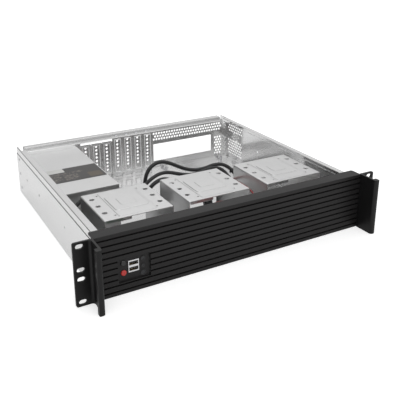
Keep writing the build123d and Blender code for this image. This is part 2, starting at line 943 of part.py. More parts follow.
def rocker():
    """Shallow V-topped rocker on two stub pins, resting with one end down."""
    rise = rocker_radius * tan(radians(rocker_tilt))
    outline = Polyline(
        (-rocker_radius, rocker_crown + rise),
        (0, rocker_crown),
        (rocker_radius, rocker_crown + rise),
        (rocker_radius, -rocker_crown),
        (-rocker_radius, -rocker_crown),
        close=True,
    )
    section = make_face(outline) & Circle(rocker_radius)
    body = extrude(section, amount=rocker_width / 2 - rocker_gap, both=True)
    pin = Cylinder(rocker_pin / 2, rocker_width + 2 * rocker_wall)
    x, depth, z = rocker_pivot()
    upright = Plane(origin=(x, face_y + depth, z), x_dir=(0, 0, 1), z_dir=(-1, 0, 0))
    return upright * Rot(0, 0, rocker_tilt) * (body + pin)


def harness_exit():
    """Centre of the grommet on the power supply's inner side."""
    return psu_left() + psu_width, psu_front() + grommet_from_front, psu_bottom() + grommet_lift


def psu_grommet():
    x, depth, z = harness_exit()
    half = grommet_lip / 2
    flange = facing_side(x, depth, z) * Pos(0, 0, half) * Cylinder(grommet_diameter / 2, grommet_lip)
    radius = grommet_diameter / 2 - grommet_groove - seat_gap / 3
    return flange + facing_side(x, depth, z) * Pos(0, 0, -half) * Cylinder(radius, grommet_lip)


# Drive cages


def cage_centres():
    """Centres of the three cages, which stand across the tray with uneven gaps."""
    footprint = cage_width + 2 * cage_foot
    room = inner_width - len(cage_gap_shares) * footprint
    edge, centres = -inner_half, []
    for share in cage_gap_shares:
        edge += room * share + footprint
        centres.append(edge - footprint / 2)
    return centres


def cage_emboss():
    """Raised middle field between the hole columns, with a pressed square on it."""
    length = cage_depth - 2 * raised_margin
    field = extrude(RectangleRounded(raised_width, length, emboss_inner_corner), amount=raised_height)
    ridge = extrude(RectangleRounded(emboss_size, emboss_size, emboss_corner), amount=emboss_height)
    inner = extrude(
        RectangleRounded(emboss_inner, emboss_inner, emboss_inner_corner), amount=emboss_height / 2
    )
    raised = Pos(0, 0, raised_height) * (ridge + Pos(0, 0, emboss_height) * inner)
    return Pos(0, cage_depth / 2, 0) * (field + raised)


def cage_profile():
    half = cage_width / 2
    top = cage_top - sheet
    right = [(half + cage_foot, sheet), (half - sheet, sheet), (half - sheet, top)]
    left = [(-x, z) for x, z in reversed(right)]
    return folded_sheet((right + left)[::-1])


def drive_cage(x):
    """Bridge of folded sheet: top plate, two sides with drive holes, and feet on the floor."""
    half = cage_width / 2
    cage = extrude(facing_rear(x, cage_front, 0) * cage_profile(), amount=-cage_depth)
    cage += at(x, cage_front, cage_top) * cage_emboss()
    small_hole = RegularPolygon(cage_pin_hole / 2, 8)
    for side in (-1, 1):
        for row in cage_hole_rows:
            place = at(x + side * (half - cage_hole_inset), cage_front + row, cage_top)
            cage -= place * Cylinder(cage_hole / 2, 4 * sheet)
        for row in (cage_pin_inset_y, cage_depth - cage_pin_inset_y):
            place = at(x + side * (half - cage_pin_inset_x), cage_front + row, cage_top - 2 * sheet)
            cage -= place * extrude(small_hole, amount=4 * sheet)
    for level in drive_hole_levels:
        for shift in (-drive_hole_pitch / 2, drive_hole_pitch / 2):
            frame = facing_side(x, cage_front + cage_depth / 2 + shift, level)
            cage -= extrude(frame * small_hole, amount=cage_width, both=True)
    for place_x, depth in foot_places():
        if abs(place_x - x) < cage_width:
            cage -= at(place_x, depth, 1.5 * sheet) * Cylinder(screw_shank / 2, 2 * sheet)
    inner = half - 2 * sheet
    cage += box_from(
        x - inner, x - inner + cage_lip_length, cage_front, cage_front + sheet,
        cage_top - cage_lip - sheet, cage_top - sheet / 2,
    )
    return cage


def foot_places():
    """Feet of the cages, as x and depth."""
    reach = cage_width / 2 + cage_foot / 2
    inset = cage_depth * cage_foot_share
    rows = (cage_front + inset, cage_front + cage_depth - inset)
    return [(x + side * reach, row) for x in cage_centres() for side in (-1, 1) for row in rows]


def cage_screws():
    screw = flat_screw(shank=screw_shank - shank_play, reach=sheet)
    return [at(x, depth, 2 * sheet) * screw for x, depth in foot_places()]


# Bulkhead, control board and what it carries


def bulkhead_depth():
    return front_setback


def front_bulkhead():
    front = bulkhead_depth()
    half = inner_half - top_flange - 2 * seat_gap
    profile = folded_sheet(
        [
            (face_y + front + bulkhead_flange, body_height),
            (face_y + front, body_height),
            (face_y + front, sheet),
            (face_y + front + bulkhead_flange, sheet),
        ]
    )
    wall = extrude(across(-half) * profile, amount=2 * half)
    for side in (-1, 1):
        low, high = sorted((side * (half - past), side * inner_half))
        wall += box_from(low, high, front, front + sheet, 2 * sheet, wall_step_height)
    for x, z in panel_boss_places():
        wall -= at(x, front, z) * Rot(90, 0, 0) * Cylinder(screw_shank / 2, 4 * sheet)
    inset = bulkhead_window_inset
    return wall - box_from(
        window_left + inset, window_left + window_width - inset, front - past, front + sheet + past,
        window_bottom + inset, window_bottom + window_height - inset,
    )


def board_front():
    return bulkhead_depth() + sheet + board_spacer


def spacer_places():
    margin = board_margin / 2
    left, right = window_left - margin, window_left + window_width + margin
    low, high = window_bottom - margin, window_bottom + window_height + margin
    return [(x, z) for x in (left, right) for z in (low, high)]


def control_board():
    """Small circuit board on four spacers behind the bulkhead."""
    left, right = window_left - board_margin, window_left + window_width + board_margin
    low, high = window_bottom - board_margin, window_bottom + window_height + board_margin
    front = board_front()
    board = box_from(left, right, front, front + board_thickness, low, high)
    for x, z in spacer_places():
        spacer = Rot(90, 0, 0) * Cylinder(spacer_diameter / 2, board_spacer)
        board += at(x, front - board_spacer / 2, z) * spacer
    return board


def switch_front():
    """Front of the tactile switches, just past the fully pressed stem."""
    return board_front() - switch_height


def board_plug():
    """Plug of the signal lead on the back of the control board."""
    x, end, z = header_exit(0)
    half_w, half_h = plug_length / 2, signal_plug_height / 2
    return box_from(x - half_w, x + half_w, end - header_depth, end, z - half_h, z + half_h)


def tact_switches():
    front = board_front()
    half = switch_size / 2
    return [
        box_from(button_x - half, button_x + half, switch_front(), front, z - half, z + half)
        for z in (power_button_z, reset_button_z)
    ]


def push_button(z):
    """Round cap, retaining collar behind the panel, and a stem that reaches the switch."""
    cap_front = window_depth - button_proud
    cap_length = panel_web + button_gap - cap_front
    cap = Rot(90, 0, 0) * Cylinder(button_diameter / 2, cap_length)
    cap = at(button_x, cap_front + cap_length / 2, z) * cap
    cap = chamfer(cap.edges().filter_by(GeomType.CIRCLE).group_by(Axis.Y)[0], button_round)
    collar_front = panel_web + button_gap
    collar = at(button_x, collar_front + collar_thickness / 2, z) * Rot(90, 0, 0)
    collar *= Cylinder(collar_diameter / 2, collar_thickness)
    stem_end = switch_front() - button_travel - button_gap / 2
    stem_length = stem_end - collar_front - collar_thickness
    stem = at(button_x, collar_front + collar_thickness + stem_length / 2, z) * Rot(90, 0, 0)
    return cap + collar + stem * Cylinder(stem_diameter / 2, stem_length)


def usb_stack():
    """Double socket: plated shell with two ports."""
    front = window_depth - usb_proud
    back = board_front()
    shell = box_from(
        usb_x - usb_width / 2, usb_x + usb_width / 2, front, back,
        usb_z - usb_height / 2, usb_z + usb_height / 2,
    )
    for side in (-1, 1):
        z = usb_z + side * port_pitch / 2
        shell -= box_from(
            usb_x - port_width / 2, usb_x + port_width / 2, front - past, front + port_depth,
            z - port_height / 2, z + port_height / 2,
        )
    return shell


def usb_tongues():
    """Contact tongue of each port, standing on the port's floor."""
    front = window_depth - usb_proud
    half = port_width / 2 - tongue_inset
    levels = [usb_z + side * port_pitch / 2 + tongue_rise for side in (-1, 1)]
    return [
        box_from(
            usb_x - half, usb_x + half, front + tongue_setback, front + port_depth,
            z - tongue_half, z + tongue_half,
        )
        for z in levels
    ]


def lamp_bezel(z, diameter):
    """Collar that holds a light pipe in the panel."""
    outer = diameter / 2 + bezel_wall
    front = window_depth - bezel_proud
    length = panel_web + bezel_tail - front
    ring = Cylinder(outer, length) - Cylinder(diameter / 2, length + past)
    return at(lamp_x, front + length / 2, z) * Rot(90, 0, 0) * ring


def light_pipe(z, diameter):
    front = window_depth - pipe_proud
    length = board_front() - front
    return at(lamp_x, front + length / 2, z) * Rot(90, 0, 0) * Cylinder(diameter / 2, length)


# Standoffs and rivets


def standoff_places():
    """Columns of the board's holes that stand clear of the power supply, as x and depth."""
    limit = psu_left() + psu_width + standoff_across
    columns = [first_column - offset for offset in standoff_offsets if first_column - offset > limit]
    rows = [wall_face_depth() - row for row in standoff_rows_from_rear]
    return [(x, depth) for x in columns for depth in rows]


def standoffs():
    hexagon = RegularPolygon(standoff_across / 2, 6, major_radius=False)
    post = extrude(hexagon, amount=standoff_height)
    middle = standoff_height - standoff_bore_depth / 2 + past / 2
    post -= Pos(0, 0, middle) * Cylinder(standoff_bore, standoff_bore_depth + past)
    return [at(x, depth, sheet) * post for x, depth in standoff_places()]


def rivet_depth():
    return wall_face_depth() + sheet + side_lip / 2


def wall_rivets():
    """Rivets through the side walls, in line with the rear wall's side flanges."""
    rivet = flat_screw(rivet_head, rivet_head_height, rivet_shank - shank_play, sheet)
    rivets = []
    for side in (-1, 1):
        for z in rivet_heights:
            rivets.append(at(side * body_width / 2, rivet_depth(), z) * Rot(0, 90 * side, 0) * rivet)
    return rivets


# Leads


def lead(points, diameter):
    """Round lead along straight runs joined by arcs as wide as the runs allow."""
    corners = [Vector(x, face_y + depth, z) for x, depth, z in points]
    radii = []
    for before, corner, after in zip(corners, corners[1:], corners[2:]):
        turn = (corner - before).get_angle(after - corner)
        shorter = min((corner - before).length, (after - corner).length)
        radii.append(0.45 * shorter / tan(radians(turn) / 2))
    path = FilletPolyline(*corners, radius=radii)
    start = Plane(origin=path @ 0, z_dir=path % 0)
    tube = sweep(start * Circle(diameter / 2), path=path)
    print("lead radii", [round(radius, 1) for radius in radii], "length", round(path.length, 1))
    swept = pi * diameter ** 2 / 4 * path.length
    print("  volume", round(tube.volume, 1), "section by length", round(swept, 1))
    return tube


def lead_out(shift, rise):
    """First two points of a lead that leaves the grommet squarely."""
    x, depth, z = harness_exit()
    return [(x + grommet_lip, depth + shift, z + rise), (x + 9 * grommet_lip, depth + shift, z + rise)]


def header_exit(shift):
    """Point on the rear face of the control board's connector."""
    depth = board_front() + board_thickness + header_depth
    return window_left + header_inset + shift, depth, window_bottom + header_rise


def main_lead_route():
    return [
        *lead_out(3.5, -3.5), (-72, 203, 18), (-58, 211, 22), (-49, 217, 34), (-47, 220, 49),
        (-43, 221, 64), (-33, 221, 76), (-18, 221, 80), (-2, 221, 75), (14, 219, 66), (30, 218, 58),
        (47, 218, 53), (65, 218, 53), (82, 217, 57), (98, 213, 57), (110, 205, 49), (116, 194, 37),
        (118, 182, 25),
    ]


def processor_lead_route():
    return [
        *lead_out(3.5, 3.3), (-73, 199, 38), (-59, 201, 50), (-44, 203, 60), (-27, 205, 66),
        (-10, 205, 65), (6, 205, 59), (22, 205, 54), (38, 205, 52), (54, 204, 55), (70, 202, 59),
        (84, 198, 57), (93, 190, 47), (97, 181, 36), (98, 173, 24),
    ]


def drive_lead_route():
    return [
        *lead_out(-3.5, -3.3), (-75, 189, 26), (-65, 186, 38), (-58, 183, 51), (-48, 181, 62),
        (-34, 180, 67), (-19, 180, 62), (-8, 179, 51), (0, 177, 38), (9, 174, 27), (21, 171, 21),
        (35, 169, 19),
    ]


def cage_lead_route():
    return [
        *lead_out(-3.4, 3.4), (-79, 186, 38), (-76, 177, 51), (-84, 169, 63), (-98, 166, 69),
        (-115, 166, 69), (-133, 167, 68), (-151, 167, 68), (-169, 167, 66), (-185, 162, 60),
        (-194, 150, 49), (-197, 134, 39), (-196, 118, 31), (-195, 102, 26),
    ]


def sensor_lead_route():
    x, start, z = header_exit(-sensor_lead_shift)
    return [
        (x, start, z), (x, start + 10, z), (x + 5, start + 20, z + 1), (x + 17, 50, 37), (-122, 53, 40),
        (-104, 54, 42), (-84, 54, 43), (-64, 54, 42), (-44, 54, 40), (-24, 54, 39), (-4, 54, 40),
        (16, 54, 42), (35, 54, 45), (53, 54, 51), (64, 61, 57), (68, 75, 61), (68, 90, 64),
        (68, 106, 64), (68, 122, 63), (69, 137, 60), (74, 150, 55), (81, 161, 48),
    ]


def signal_lead_route():
    x, start, z = header_exit(signal_lead_shift)
    return [
        (x, start, z), (x, start + 9, z), (x + 6, start + 17, z), (x + 19, 43, 34), (-112, 45, 34),
        (-94, 45, 35), (-76, 45, 40), (-60, 46, 49), (-45, 48, 60), (-29, 49, 68), (-11, 49, 72),
        (7, 49, 70), (21, 49, 62), (32, 49, 51), (44, 49, 41), (57, 53, 34), (65, 64, 31),
        (66, 80, 30), (66, 98, 30), (67, 116, 31), (68, 134, 29), (72, 150, 24), (79, 164, 18),
        (86, 178, 14),
    ]


def plug_at(points, width, height):
    """Connector body that carries on from the last run of a lead."""
    before, end = (Vector(x, face_y + depth, z) for x, depth, z in points[-2:])
    frame = Plane(origin=end, x_dir=(1, 0, 0), z_dir=end - before)
    return frame * Pos(0, 0, plug_length / 2) * Box(width, height, plug_length)


def build():
    right = right_ear_handle()
    parts = {
        "chassis_tray": chassis_tray(),
        "front_bulkhead": front_bulkhead(),
        "front_panel": front_panel(),
        "right_ear_handle": right,
        "left_ear_handle": mirror(right, about=Plane.YZ),
        "ear_screws": ear_screws(-1) + ear_screws(1),
        "panel_screws": panel_screws(),
        "rear_wall": rear_wall(),
        "slot_foot_rail": slot_foot_rail(),
        "wall_rivets": wall_rivets(),
        "slot_screws": slot_screws(),
        "psu_case": psu_case(),
        "psu_cover": psu_cover(),
        "psu_label": psu_label(),
        "psu_fan_frame": fan_frame(),
        "psu_fan_rotor": fan_rotor(),
        "psu_inlet": power_inlet(),
        "psu_switch_housing": rocker_housing(),
        "psu_rocker": rocker(),
        "psu_screws": psu_screws(),
        "psu_grommet": psu_grommet(),
        "cage_screws": cage_screws(),
        "control_board": control_board(),
        "board_plug": board_plug(),
        "tact_switches": tact_switches(),
        "power_button": push_button(power_button_z),
        "reset_button": push_button(reset_button_z),
        "usb_shell": usb_stack(),
        "usb_tongues": usb_tongues(),
        "standoffs": standoffs(),
        "main_lead": lead(main_lead_route(), main_lead_diameter),
        "main_plug": plug_at(main_lead_route(), main_plug_width, main_plug_height),
        "processor_lead": lead(processor_lead_route(), processor_lead_diameter),
        "processor_plug": plug_at(processor_lead_route(), processor_plug_side, processor_plug_side),
        "drive_lead": lead(drive_lead_route(), drive_lead_diameter),
        "drive_plug": plug_at(drive_lead_route(), flat_plug_width, flat_plug_height),
        "cage_lead": lead(cage_lead_route(), cage_lead_diameter),
        "cage_plug": plug_at(cage_lead_route(), flat_plug_height, flat_plug_width),
        "sensor_lead": lead(sensor_lead_route(), sensor_lead_diameter),
        "sensor_plug": plug_at(sensor_lead_route(), signal_plug_height, signal_plug_height),
        "signal_lead": lead(signal_lead_route(), signal_lead_diameter),
        "signal_plug": plug_at(signal_lead_route(), signal_plug_width, signal_plug_height),
    }
    for number, x in enumerate(slot_centres(), 1):
        cover = pocket_cover if number <= pocket_slots else slot_cover
        parts[f"slot_cover_{number}"] = cover(x)
    for number, x in enumerate(cage_centres(), 1):
        parts[f"drive_cage_{number}"] = drive_cage(x)
    parts["lamp_bezels"] = [lamp_bezel(z, size) for z, size in zip(lamp_heights, lamp_diameters)]
    for name, z, diameter in zip(("power", "drive", "network"), lamp_heights, lamp_diameters):
        parts[f"{name}_light_pipe"] = light_pipe(z, diameter)
    return parts


os.makedirs("parts", exist_ok=True)
for name, shape in build().items():
    solids = shape if isinstance(shape, list) else [shape]
    solids = [solid for piece in solids for solid in piece.solids()]
    export_step(Compound(children=solids), f"parts/{name}.step")
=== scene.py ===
# %% [markdown]
# # Dressing a rackmount server case
#
# The case is already built as a frame of solids at their real size, in metres, with +X to the right,
# +Y towards the rear and +Z up. This lesson gives every surface its finish and adds what solids leave
# out: cross-slotted screw heads, sleeved leads, moulded connectors and the fields of the supply's label.

# %% Load the frame
import json
import math

import bmesh
import bpy
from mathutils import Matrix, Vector

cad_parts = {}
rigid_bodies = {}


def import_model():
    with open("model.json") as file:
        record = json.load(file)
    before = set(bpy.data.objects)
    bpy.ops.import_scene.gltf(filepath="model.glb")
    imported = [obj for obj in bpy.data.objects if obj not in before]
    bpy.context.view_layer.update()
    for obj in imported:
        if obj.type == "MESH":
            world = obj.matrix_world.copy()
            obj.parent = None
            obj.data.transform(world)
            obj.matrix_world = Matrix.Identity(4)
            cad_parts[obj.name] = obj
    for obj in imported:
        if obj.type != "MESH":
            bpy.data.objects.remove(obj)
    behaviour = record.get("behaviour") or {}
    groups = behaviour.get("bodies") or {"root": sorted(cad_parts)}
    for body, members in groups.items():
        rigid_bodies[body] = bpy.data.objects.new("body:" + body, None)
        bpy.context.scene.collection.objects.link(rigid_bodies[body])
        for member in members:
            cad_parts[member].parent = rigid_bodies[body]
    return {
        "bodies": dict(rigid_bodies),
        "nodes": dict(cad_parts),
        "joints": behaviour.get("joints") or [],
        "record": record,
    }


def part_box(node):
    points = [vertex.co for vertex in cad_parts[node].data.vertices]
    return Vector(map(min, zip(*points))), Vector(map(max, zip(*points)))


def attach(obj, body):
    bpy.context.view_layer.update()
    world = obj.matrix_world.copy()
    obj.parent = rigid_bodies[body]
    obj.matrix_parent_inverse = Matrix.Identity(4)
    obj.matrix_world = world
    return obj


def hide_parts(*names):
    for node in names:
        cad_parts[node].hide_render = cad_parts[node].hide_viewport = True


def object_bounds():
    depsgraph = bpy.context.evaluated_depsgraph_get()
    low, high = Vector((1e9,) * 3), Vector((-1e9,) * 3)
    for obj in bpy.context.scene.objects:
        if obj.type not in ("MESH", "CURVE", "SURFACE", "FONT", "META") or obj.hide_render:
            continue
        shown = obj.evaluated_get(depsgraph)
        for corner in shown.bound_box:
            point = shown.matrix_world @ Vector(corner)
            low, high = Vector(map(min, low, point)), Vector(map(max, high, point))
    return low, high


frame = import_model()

CASE = "case"
MM = 0.001
cad_low, cad_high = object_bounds()
FACE_Y = cad_low.y + 32 * MM
nodes = frame["nodes"]
print("nodes", len(nodes), "size", [round(v, 4) for v in cad_high - cad_low])

# %% [markdown]
# The camera stands where the photographer stood: to the left of the case, in front of it and above.
# The photograph was cropped below its optical axis, so the sensor is shifted rather than the camera
# tilted. A tilt would make the upright edges of the front panel lean.

# %% Camera
CAMERA_PLACE = Vector((-0.427, -0.820, 0.432))
CAMERA_YAW = math.radians(29.5)
CAMERA_PITCH = math.radians(19.31)
PICTURE_WIDTH = 400
FOCAL_PIXELS = 611.5
AXIS_ROW = 150
SENSOR_WIDTH = 36.0


def make_camera():
    data = bpy.data.cameras.new("camera")
    data.sensor_width = SENSOR_WIDTH
    data.lens = FOCAL_PIXELS / PICTURE_WIDTH * SENSOR_WIDTH
    data.shift_y = (AXIS_ROW - PICTURE_WIDTH / 2) / PICTURE_WIDTH
    data.clip_start = 0.01
    camera = bpy.data.objects.new("camera", data)
    bpy.context.collection.objects.link(camera)
    level = math.cos(CAMERA_PITCH)
    forward = Vector((math.sin(CAMERA_YAW) * level, math.cos(CAMERA_YAW) * level, -math.sin(CAMERA_PITCH)))
    camera.location = CAMERA_PLACE
    camera.rotation_mode = "QUATERNION"
    camera.rotation_quaternion = forward.to_track_quat("-Z", "Y")
    bpy.context.scene.camera = camera
    return camera


camera = make_camera()
print("lens", round(camera.data.lens, 2), "mm, shift", camera.data.shift_y)

# %% [markdown]
# A finish is a small tree of nodes. Written as calls, even a simple sum hides its meaning, so one class
# wraps a socket and lets Python's own operators add the Math nodes, and another owns the tree and has
# the single method that makes every other node. `1 - mask` or `0.3 + 0.1 * grain` then reads as maths.

# %% Shader maths
class Value:
    """One output socket. Operators on it add Math nodes to its tree."""

    def __init__(self, tree, socket):
        self.tree = tree
        self.socket = socket

    def maths(self, operation, first, second):
        return self.tree.node("ShaderNodeMath", {"operation": operation}, {0: first, 1: second})

    def __add__(self, other):
        return self.maths("ADD", self, other)

    __radd__ = __add__

    def __sub__(self, other):
        return self.maths("SUBTRACT", self, other)

    def __rsub__(self, other):
        return self.maths("SUBTRACT", other, self)

    def __mul__(self, other):
        return self.maths("MULTIPLY", self, other)

    __rmul__ = __mul__

    def __truediv__(self, other):
        return self.maths("DIVIDE", self, other)

    def __gt__(self, other):
        return self.maths("GREATER_THAN", self, other)

    def __lt__(self, other):
        return self.maths("LESS_THAN", self, other)


# %% [markdown]
# Shaders, the sky and Geometry Nodes are all trees of nodes, so one class fills any of them. Its method
# takes the node's settings and its inputs, and links an input wherever it is given another node's output.

# %% A tree of nodes
class Tree:
    """A node tree of any kind, filled through one method."""

    def __init__(self, tree):
        self.tree = tree

    def node(self, kind, settings=None, inputs=None, output=0):
        made = self.tree.nodes.new(kind)
        for name, value in (settings or {}).items():
            setattr(made, name, value)
        for key, value in (inputs or {}).items():
            if isinstance(value, Value):
                self.tree.links.new(value.socket, made.inputs[key])
            else:
                made.inputs[key].default_value = value
        return Value(self, made.outputs[output])


# %% [markdown]
# A finish of this case is always the same shader with different patterns plugged in. This class keeps
# the patterns that several finishes share: noise in space, stretched noise, a blend of two colours, and
# a bump that can also soften edges.

# %% A finish
class Finish(Tree):
    """A material with one Principled surface, whose patterns read Object coordinates."""

    def __init__(self, name):
        self.material = bpy.data.materials.new(name)
        self.material.use_nodes = True
        super().__init__(self.material.node_tree)
        self.shader = self.tree.nodes["Principled BSDF"]

    def place(self):
        return self.node("ShaderNodeTexCoord", output="Object")

    def stretched(self, scale):
        return self.node("ShaderNodeMapping", inputs={"Vector": self.place(), "Scale": scale})

    def split(self, vector):
        """The three parts of a vector, each as a value of its own."""
        inputs = {"Vector": vector}
        return [self.node("ShaderNodeSeparateXYZ", inputs=inputs, output=axis) for axis in range(3)]

    def noise(self, vector, scale, detail=2.0, roughness=0.5):
        inputs = {"Vector": vector, "Scale": scale, "Detail": detail, "Roughness": roughness}
        return self.node("ShaderNodeTexNoise", inputs=inputs)

    def blend(self, factor, first, second):
        settings = {"data_type": "RGBA", "blend_type": "MIX"}
        inputs = {"Factor": factor, 6: colour(first), 7: colour(second)}
        return self.node("ShaderNodeMix", settings, inputs, output=2)

    def bump(self, height, distance, strength=1.0, soft_edge=0.0):
        inputs = {"Height": height, "Distance": distance, "Strength": strength}
        if soft_edge:
            inputs["Normal"] = self.node("ShaderNodeBevel", {"samples": 4}, {"Radius": soft_edge})
        return self.node("ShaderNodeBump", inputs=inputs)

    def surface(self, **sockets):
        for name, value in sockets.items():
            socket = self.shader.inputs[name.replace("_", " ").title().replace("Ior", "IOR")]
            if isinstance(value, Value):
                self.tree.links.new(value.socket, socket)
            else:
                socket.default_value = value
        return self.material


def colour(value):
    """A grey level, an RGB triple or a wrapped socket, as a colour socket takes it."""
    if isinstance(value, Value):
        return value
    if isinstance(value, (int, float)):
        value = (value, value, value)
    return (*value, 1.0)


print("shader tools ready")

# %% [markdown]
# Zinc-coated sheet is not a mirror and not paint. It reflects like metal, but its roughness drifts in
# soft patches, and rolling leaves faint lines along the sheet. Two noises do this: a stretched one for
# the lines and a round one for the patches. A soft-edge node rounds the light on folded edges, which
# on the real sheet are never perfectly sharp.

# %% Sheet metal finishes
def sheet_steel(name, tone, roughness, lines=(4.0, 220.0, 220.0), soft_edge=0.0005, metal=1.0, painted_light=None):
    """Zinc-coated sheet. The last argument may return two masks: one where the colour is lightened as a
    painted highlight, and one where it is darkened as painted shade.
    """
    finish = Finish(name)
    rolled = finish.noise(finish.stretched(lines), 6.0, 3.0)
    patches = finish.noise(finish.place(), 34.0, 4.0, 0.6)
    base = finish.blend(0.6 * patches + 0.4 * rolled, tone * 0.93, tone * 1.05)
    dullness = roughness + 0.06 * patches + 0.05 * rolled
    if painted_light:
        rim_highlight, ledge_shade = painted_light(finish)
        # Painted light: the rims' colour is lightened to a painted highlight, and the ledge's colour is
        # darkened to painted shade.
        base = finish.blend(ledge_shade, finish.blend(rim_highlight, base, 0.97), 0.50)
        dullness = dullness + 0.25 * rim_highlight
        metal = metal - 0.7 * rim_highlight
    return finish.surface(
        base_color=base, metallic=metal, roughness=dullness,
        normal=finish.bump(rolled, 0.00002, 0.08, soft_edge=soft_edge),
    )


steel = sheet_steel("zinc_coated_sheet", 0.84, 0.10, metal=0.94)
cage_steel = sheet_steel("cage_sheet", 0.76, 0.25, lines=(220.0, 5.0, 220.0), soft_edge=0.0016)
strip_steel = sheet_steel("bright_strip", 0.86, 0.16, lines=(220.0, 220.0, 6.0))
supply_steel = sheet_steel("supply_sheet", 0.74, 0.30)
print("sheet metals", steel.name, cage_steel.name, strip_steel.name, supply_steel.name)

# %% [markdown]
# The rear wall is the same sheet, but each slot opening has a rim pressed forward. The rims get a painted
# highlight: their colour is lightened nearly to white and made rougher and less metallic, standing in for
# the light that catches their edges. The rims are the only places that stand a little before their own
# field of the wall, so a mask on the place alone finds them, once for the wall and once for its set-back
# field.
# The ledge on top of the wall gets painted shade: its colour is darkened a little all over and more in lines
# along its length, standing in for the shade along its folds.

# %% Rear wall with a painted highlight on the rims and painted shade on the ledge
WALL_DEPTH = 376.0
SETBACK = 2.0
RIM_MARGIN = 0.3
POCKET_LEFT, POCKET_RIGHT = -101.66, -40.7
POCKET_EDGE = 1.5
LEDGE_HEIGHT = 80.0


def wall_painted_light(finish):
    place = finish.place()
    x, y, z = finish.split(place)
    wall = FACE_Y + (WALL_DEPTH - RIM_MARGIN) * MM
    on_wall = y < wall
    inside = (x > (POCKET_LEFT + POCKET_EDGE) * MM) * (x < (POCKET_RIGHT - POCKET_EDGE) * MM)
    # Mask of the slot rims, which get a painted highlight.
    rims = finish.node(
        "ShaderNodeMath", {"operation": "MAXIMUM"}, {0: on_wall, 1: inside * (y < wall + SETBACK * MM)}
    )
    # Lines along the ledge, darkened as painted shade.
    shade_lines = finish.noise(finish.stretched((0.9, 230.0, 0.0)), 1.0, 0.0)
    return rims, (z > LEDGE_HEIGHT * MM) * (0.10 + 0.90 * (shade_lines > 0.52))


wall_steel = sheet_steel("wall_sheet", 0.86, 0.14, soft_edge=0.0010, metal=0.90, painted_light=wall_painted_light)

# %% [markdown]
# The front panel is an aluminium extrusion, anodised black: the dye sits in a matt oxide layer, and the
# drawing lines of the die run along its length. The ears are powder coated: the powder melts into tiny
# round swells, which read as a fine grain. Both need a bump far smaller than a millimetre.

# %% Black finishes
def anodised_black():
    finish = Finish("anodised_black")
    drawn = finish.noise(finish.stretched((6.0, 900.0, 900.0)), 1.0, 4.0, 0.6)
    bloom = finish.noise(finish.place(), 22.0, 3.0)
    return finish.surface(
        base_color=finish.blend(bloom, (0.009, 0.0084, 0.0086), (0.014, 0.0130, 0.0134)),
        specular_ior_level=0.32,
        roughness=0.38 + 0.10 * drawn + 0.06 * bloom,
        normal=finish.bump(drawn, 0.00005, 0.5, soft_edge=0.0005),
    )


def powder_black():
    finish = Finish("powder_coat_black")
    swells = finish.noise(finish.place(), 1400.0, 2.0)
    bloom = finish.noise(finish.place(), 25.0, 3.0)
    return finish.surface(
        base_color=finish.blend(bloom, (0.006, 0.0058, 0.0060), (0.010, 0.0097, 0.010)),
        specular_ior_level=0.28,
        roughness=0.34 + 0.08 * bloom,
        normal=finish.bump(swells, 0.00006, 0.6, soft_edge=0.0006),
    )


panel_black, ear_black = anodised_black(), powder_black()
print("black finishes", panel_black.name, ear_black.name)

# %% [markdown]
# Small parts differ mostly in gloss. One function covers moulded plastics and rubber: a fine grain from
# the mould, a slight drift of colour, and a roughness. Plated parts keep a metal surface.

# %% Moulded and plated finishes
def moulded(name, tone, roughness, grain=0.00003, grain_scale=1600.0, coat=0.0):
    finish = Finish(name)
    texture = finish.noise(finish.place(), grain_scale, 2.0)
    drift = finish.noise(finish.place(), 60.0, 2.0)
    dark = tuple(channel * 0.85 for channel in tone)
    light = tuple(min(channel * 1.12, 1.0) for channel in tone)
    return finish.surface(
        base_color=finish.blend(drift, dark, light),
        roughness=roughness + 0.08 * drift,
        coat_weight=coat,
        normal=finish.bump(texture, grain, 0.5, soft_edge=0.0002),
    )


def plated(name, tone, roughness):
    finish = Finish(name)
    patches = finish.noise(finish.place(), 180.0, 3.0)
    dark = tuple(channel * 0.9 for channel in tone)
    return finish.surface(
        base_color=finish.blend(patches, dark, tone),
        metallic=1.0,
        roughness=roughness + 0.08 * patches,
        normal=finish.bump(patches, 0.00002, 0.4, soft_edge=0.0002),
    )


black_plastic = moulded("black_plastic", (0.018, 0.018, 0.019), 0.45)
gloss_black = moulded("gloss_black", (0.012, 0.012, 0.013), 0.18, coat=0.3)
gloss_red = moulded("gloss_red", (0.62, 0.035, 0.03), 0.22, coat=0.4)
rubber = moulded("rubber", (0.02, 0.02, 0.02), 0.7)
white_nylon = moulded("white_nylon", (0.74, 0.72, 0.66), 0.42)
clear_pipe = moulded("light_pipe", (0.012, 0.013, 0.016), 0.20, coat=0.2)
screw_steel = plated("zinc_plated", (0.66, 0.66, 0.68), 0.26)
tin_shell = plated("tin_plated", (0.86, 0.86, 0.87), 0.16)
gold = plated("gold_plated", (0.78, 0.60, 0.28), 0.22)
print("small finishes", len(bpy.data.materials))

# %% [markdown]
# The circuit board shows copper tracks under green lacquer. Thin diagonal stripes, broken up
# by a coarse cell pattern, look like tracks without drawing any real circuit.

# %% Circuit board
def circuit_lacquer():
    finish = Finish("green_lacquer")
    cells = finish.node(
        "ShaderNodeTexVoronoi", {"feature": "F1"},
        {"Vector": finish.place(), "Scale": 140.0}, output="Distance",
    )
    tracks = finish.node(
        "ShaderNodeTexWave", {"wave_type": "BANDS", "bands_direction": "DIAGONAL"},
        {"Vector": finish.place(), "Scale": 160.0, "Distortion": 2.0}, output=1,
    )
    copper = (tracks * cells) > 0.22
    return finish.surface(
        base_color=finish.blend(copper, (0.010, 0.060, 0.026), (0.030, 0.150, 0.060)),
        roughness=0.32 + 0.1 * cells,
        coat_weight=0.2,
        normal=finish.bump(copper, 0.00003, 0.6),
    )


board_green = circuit_lacquer()

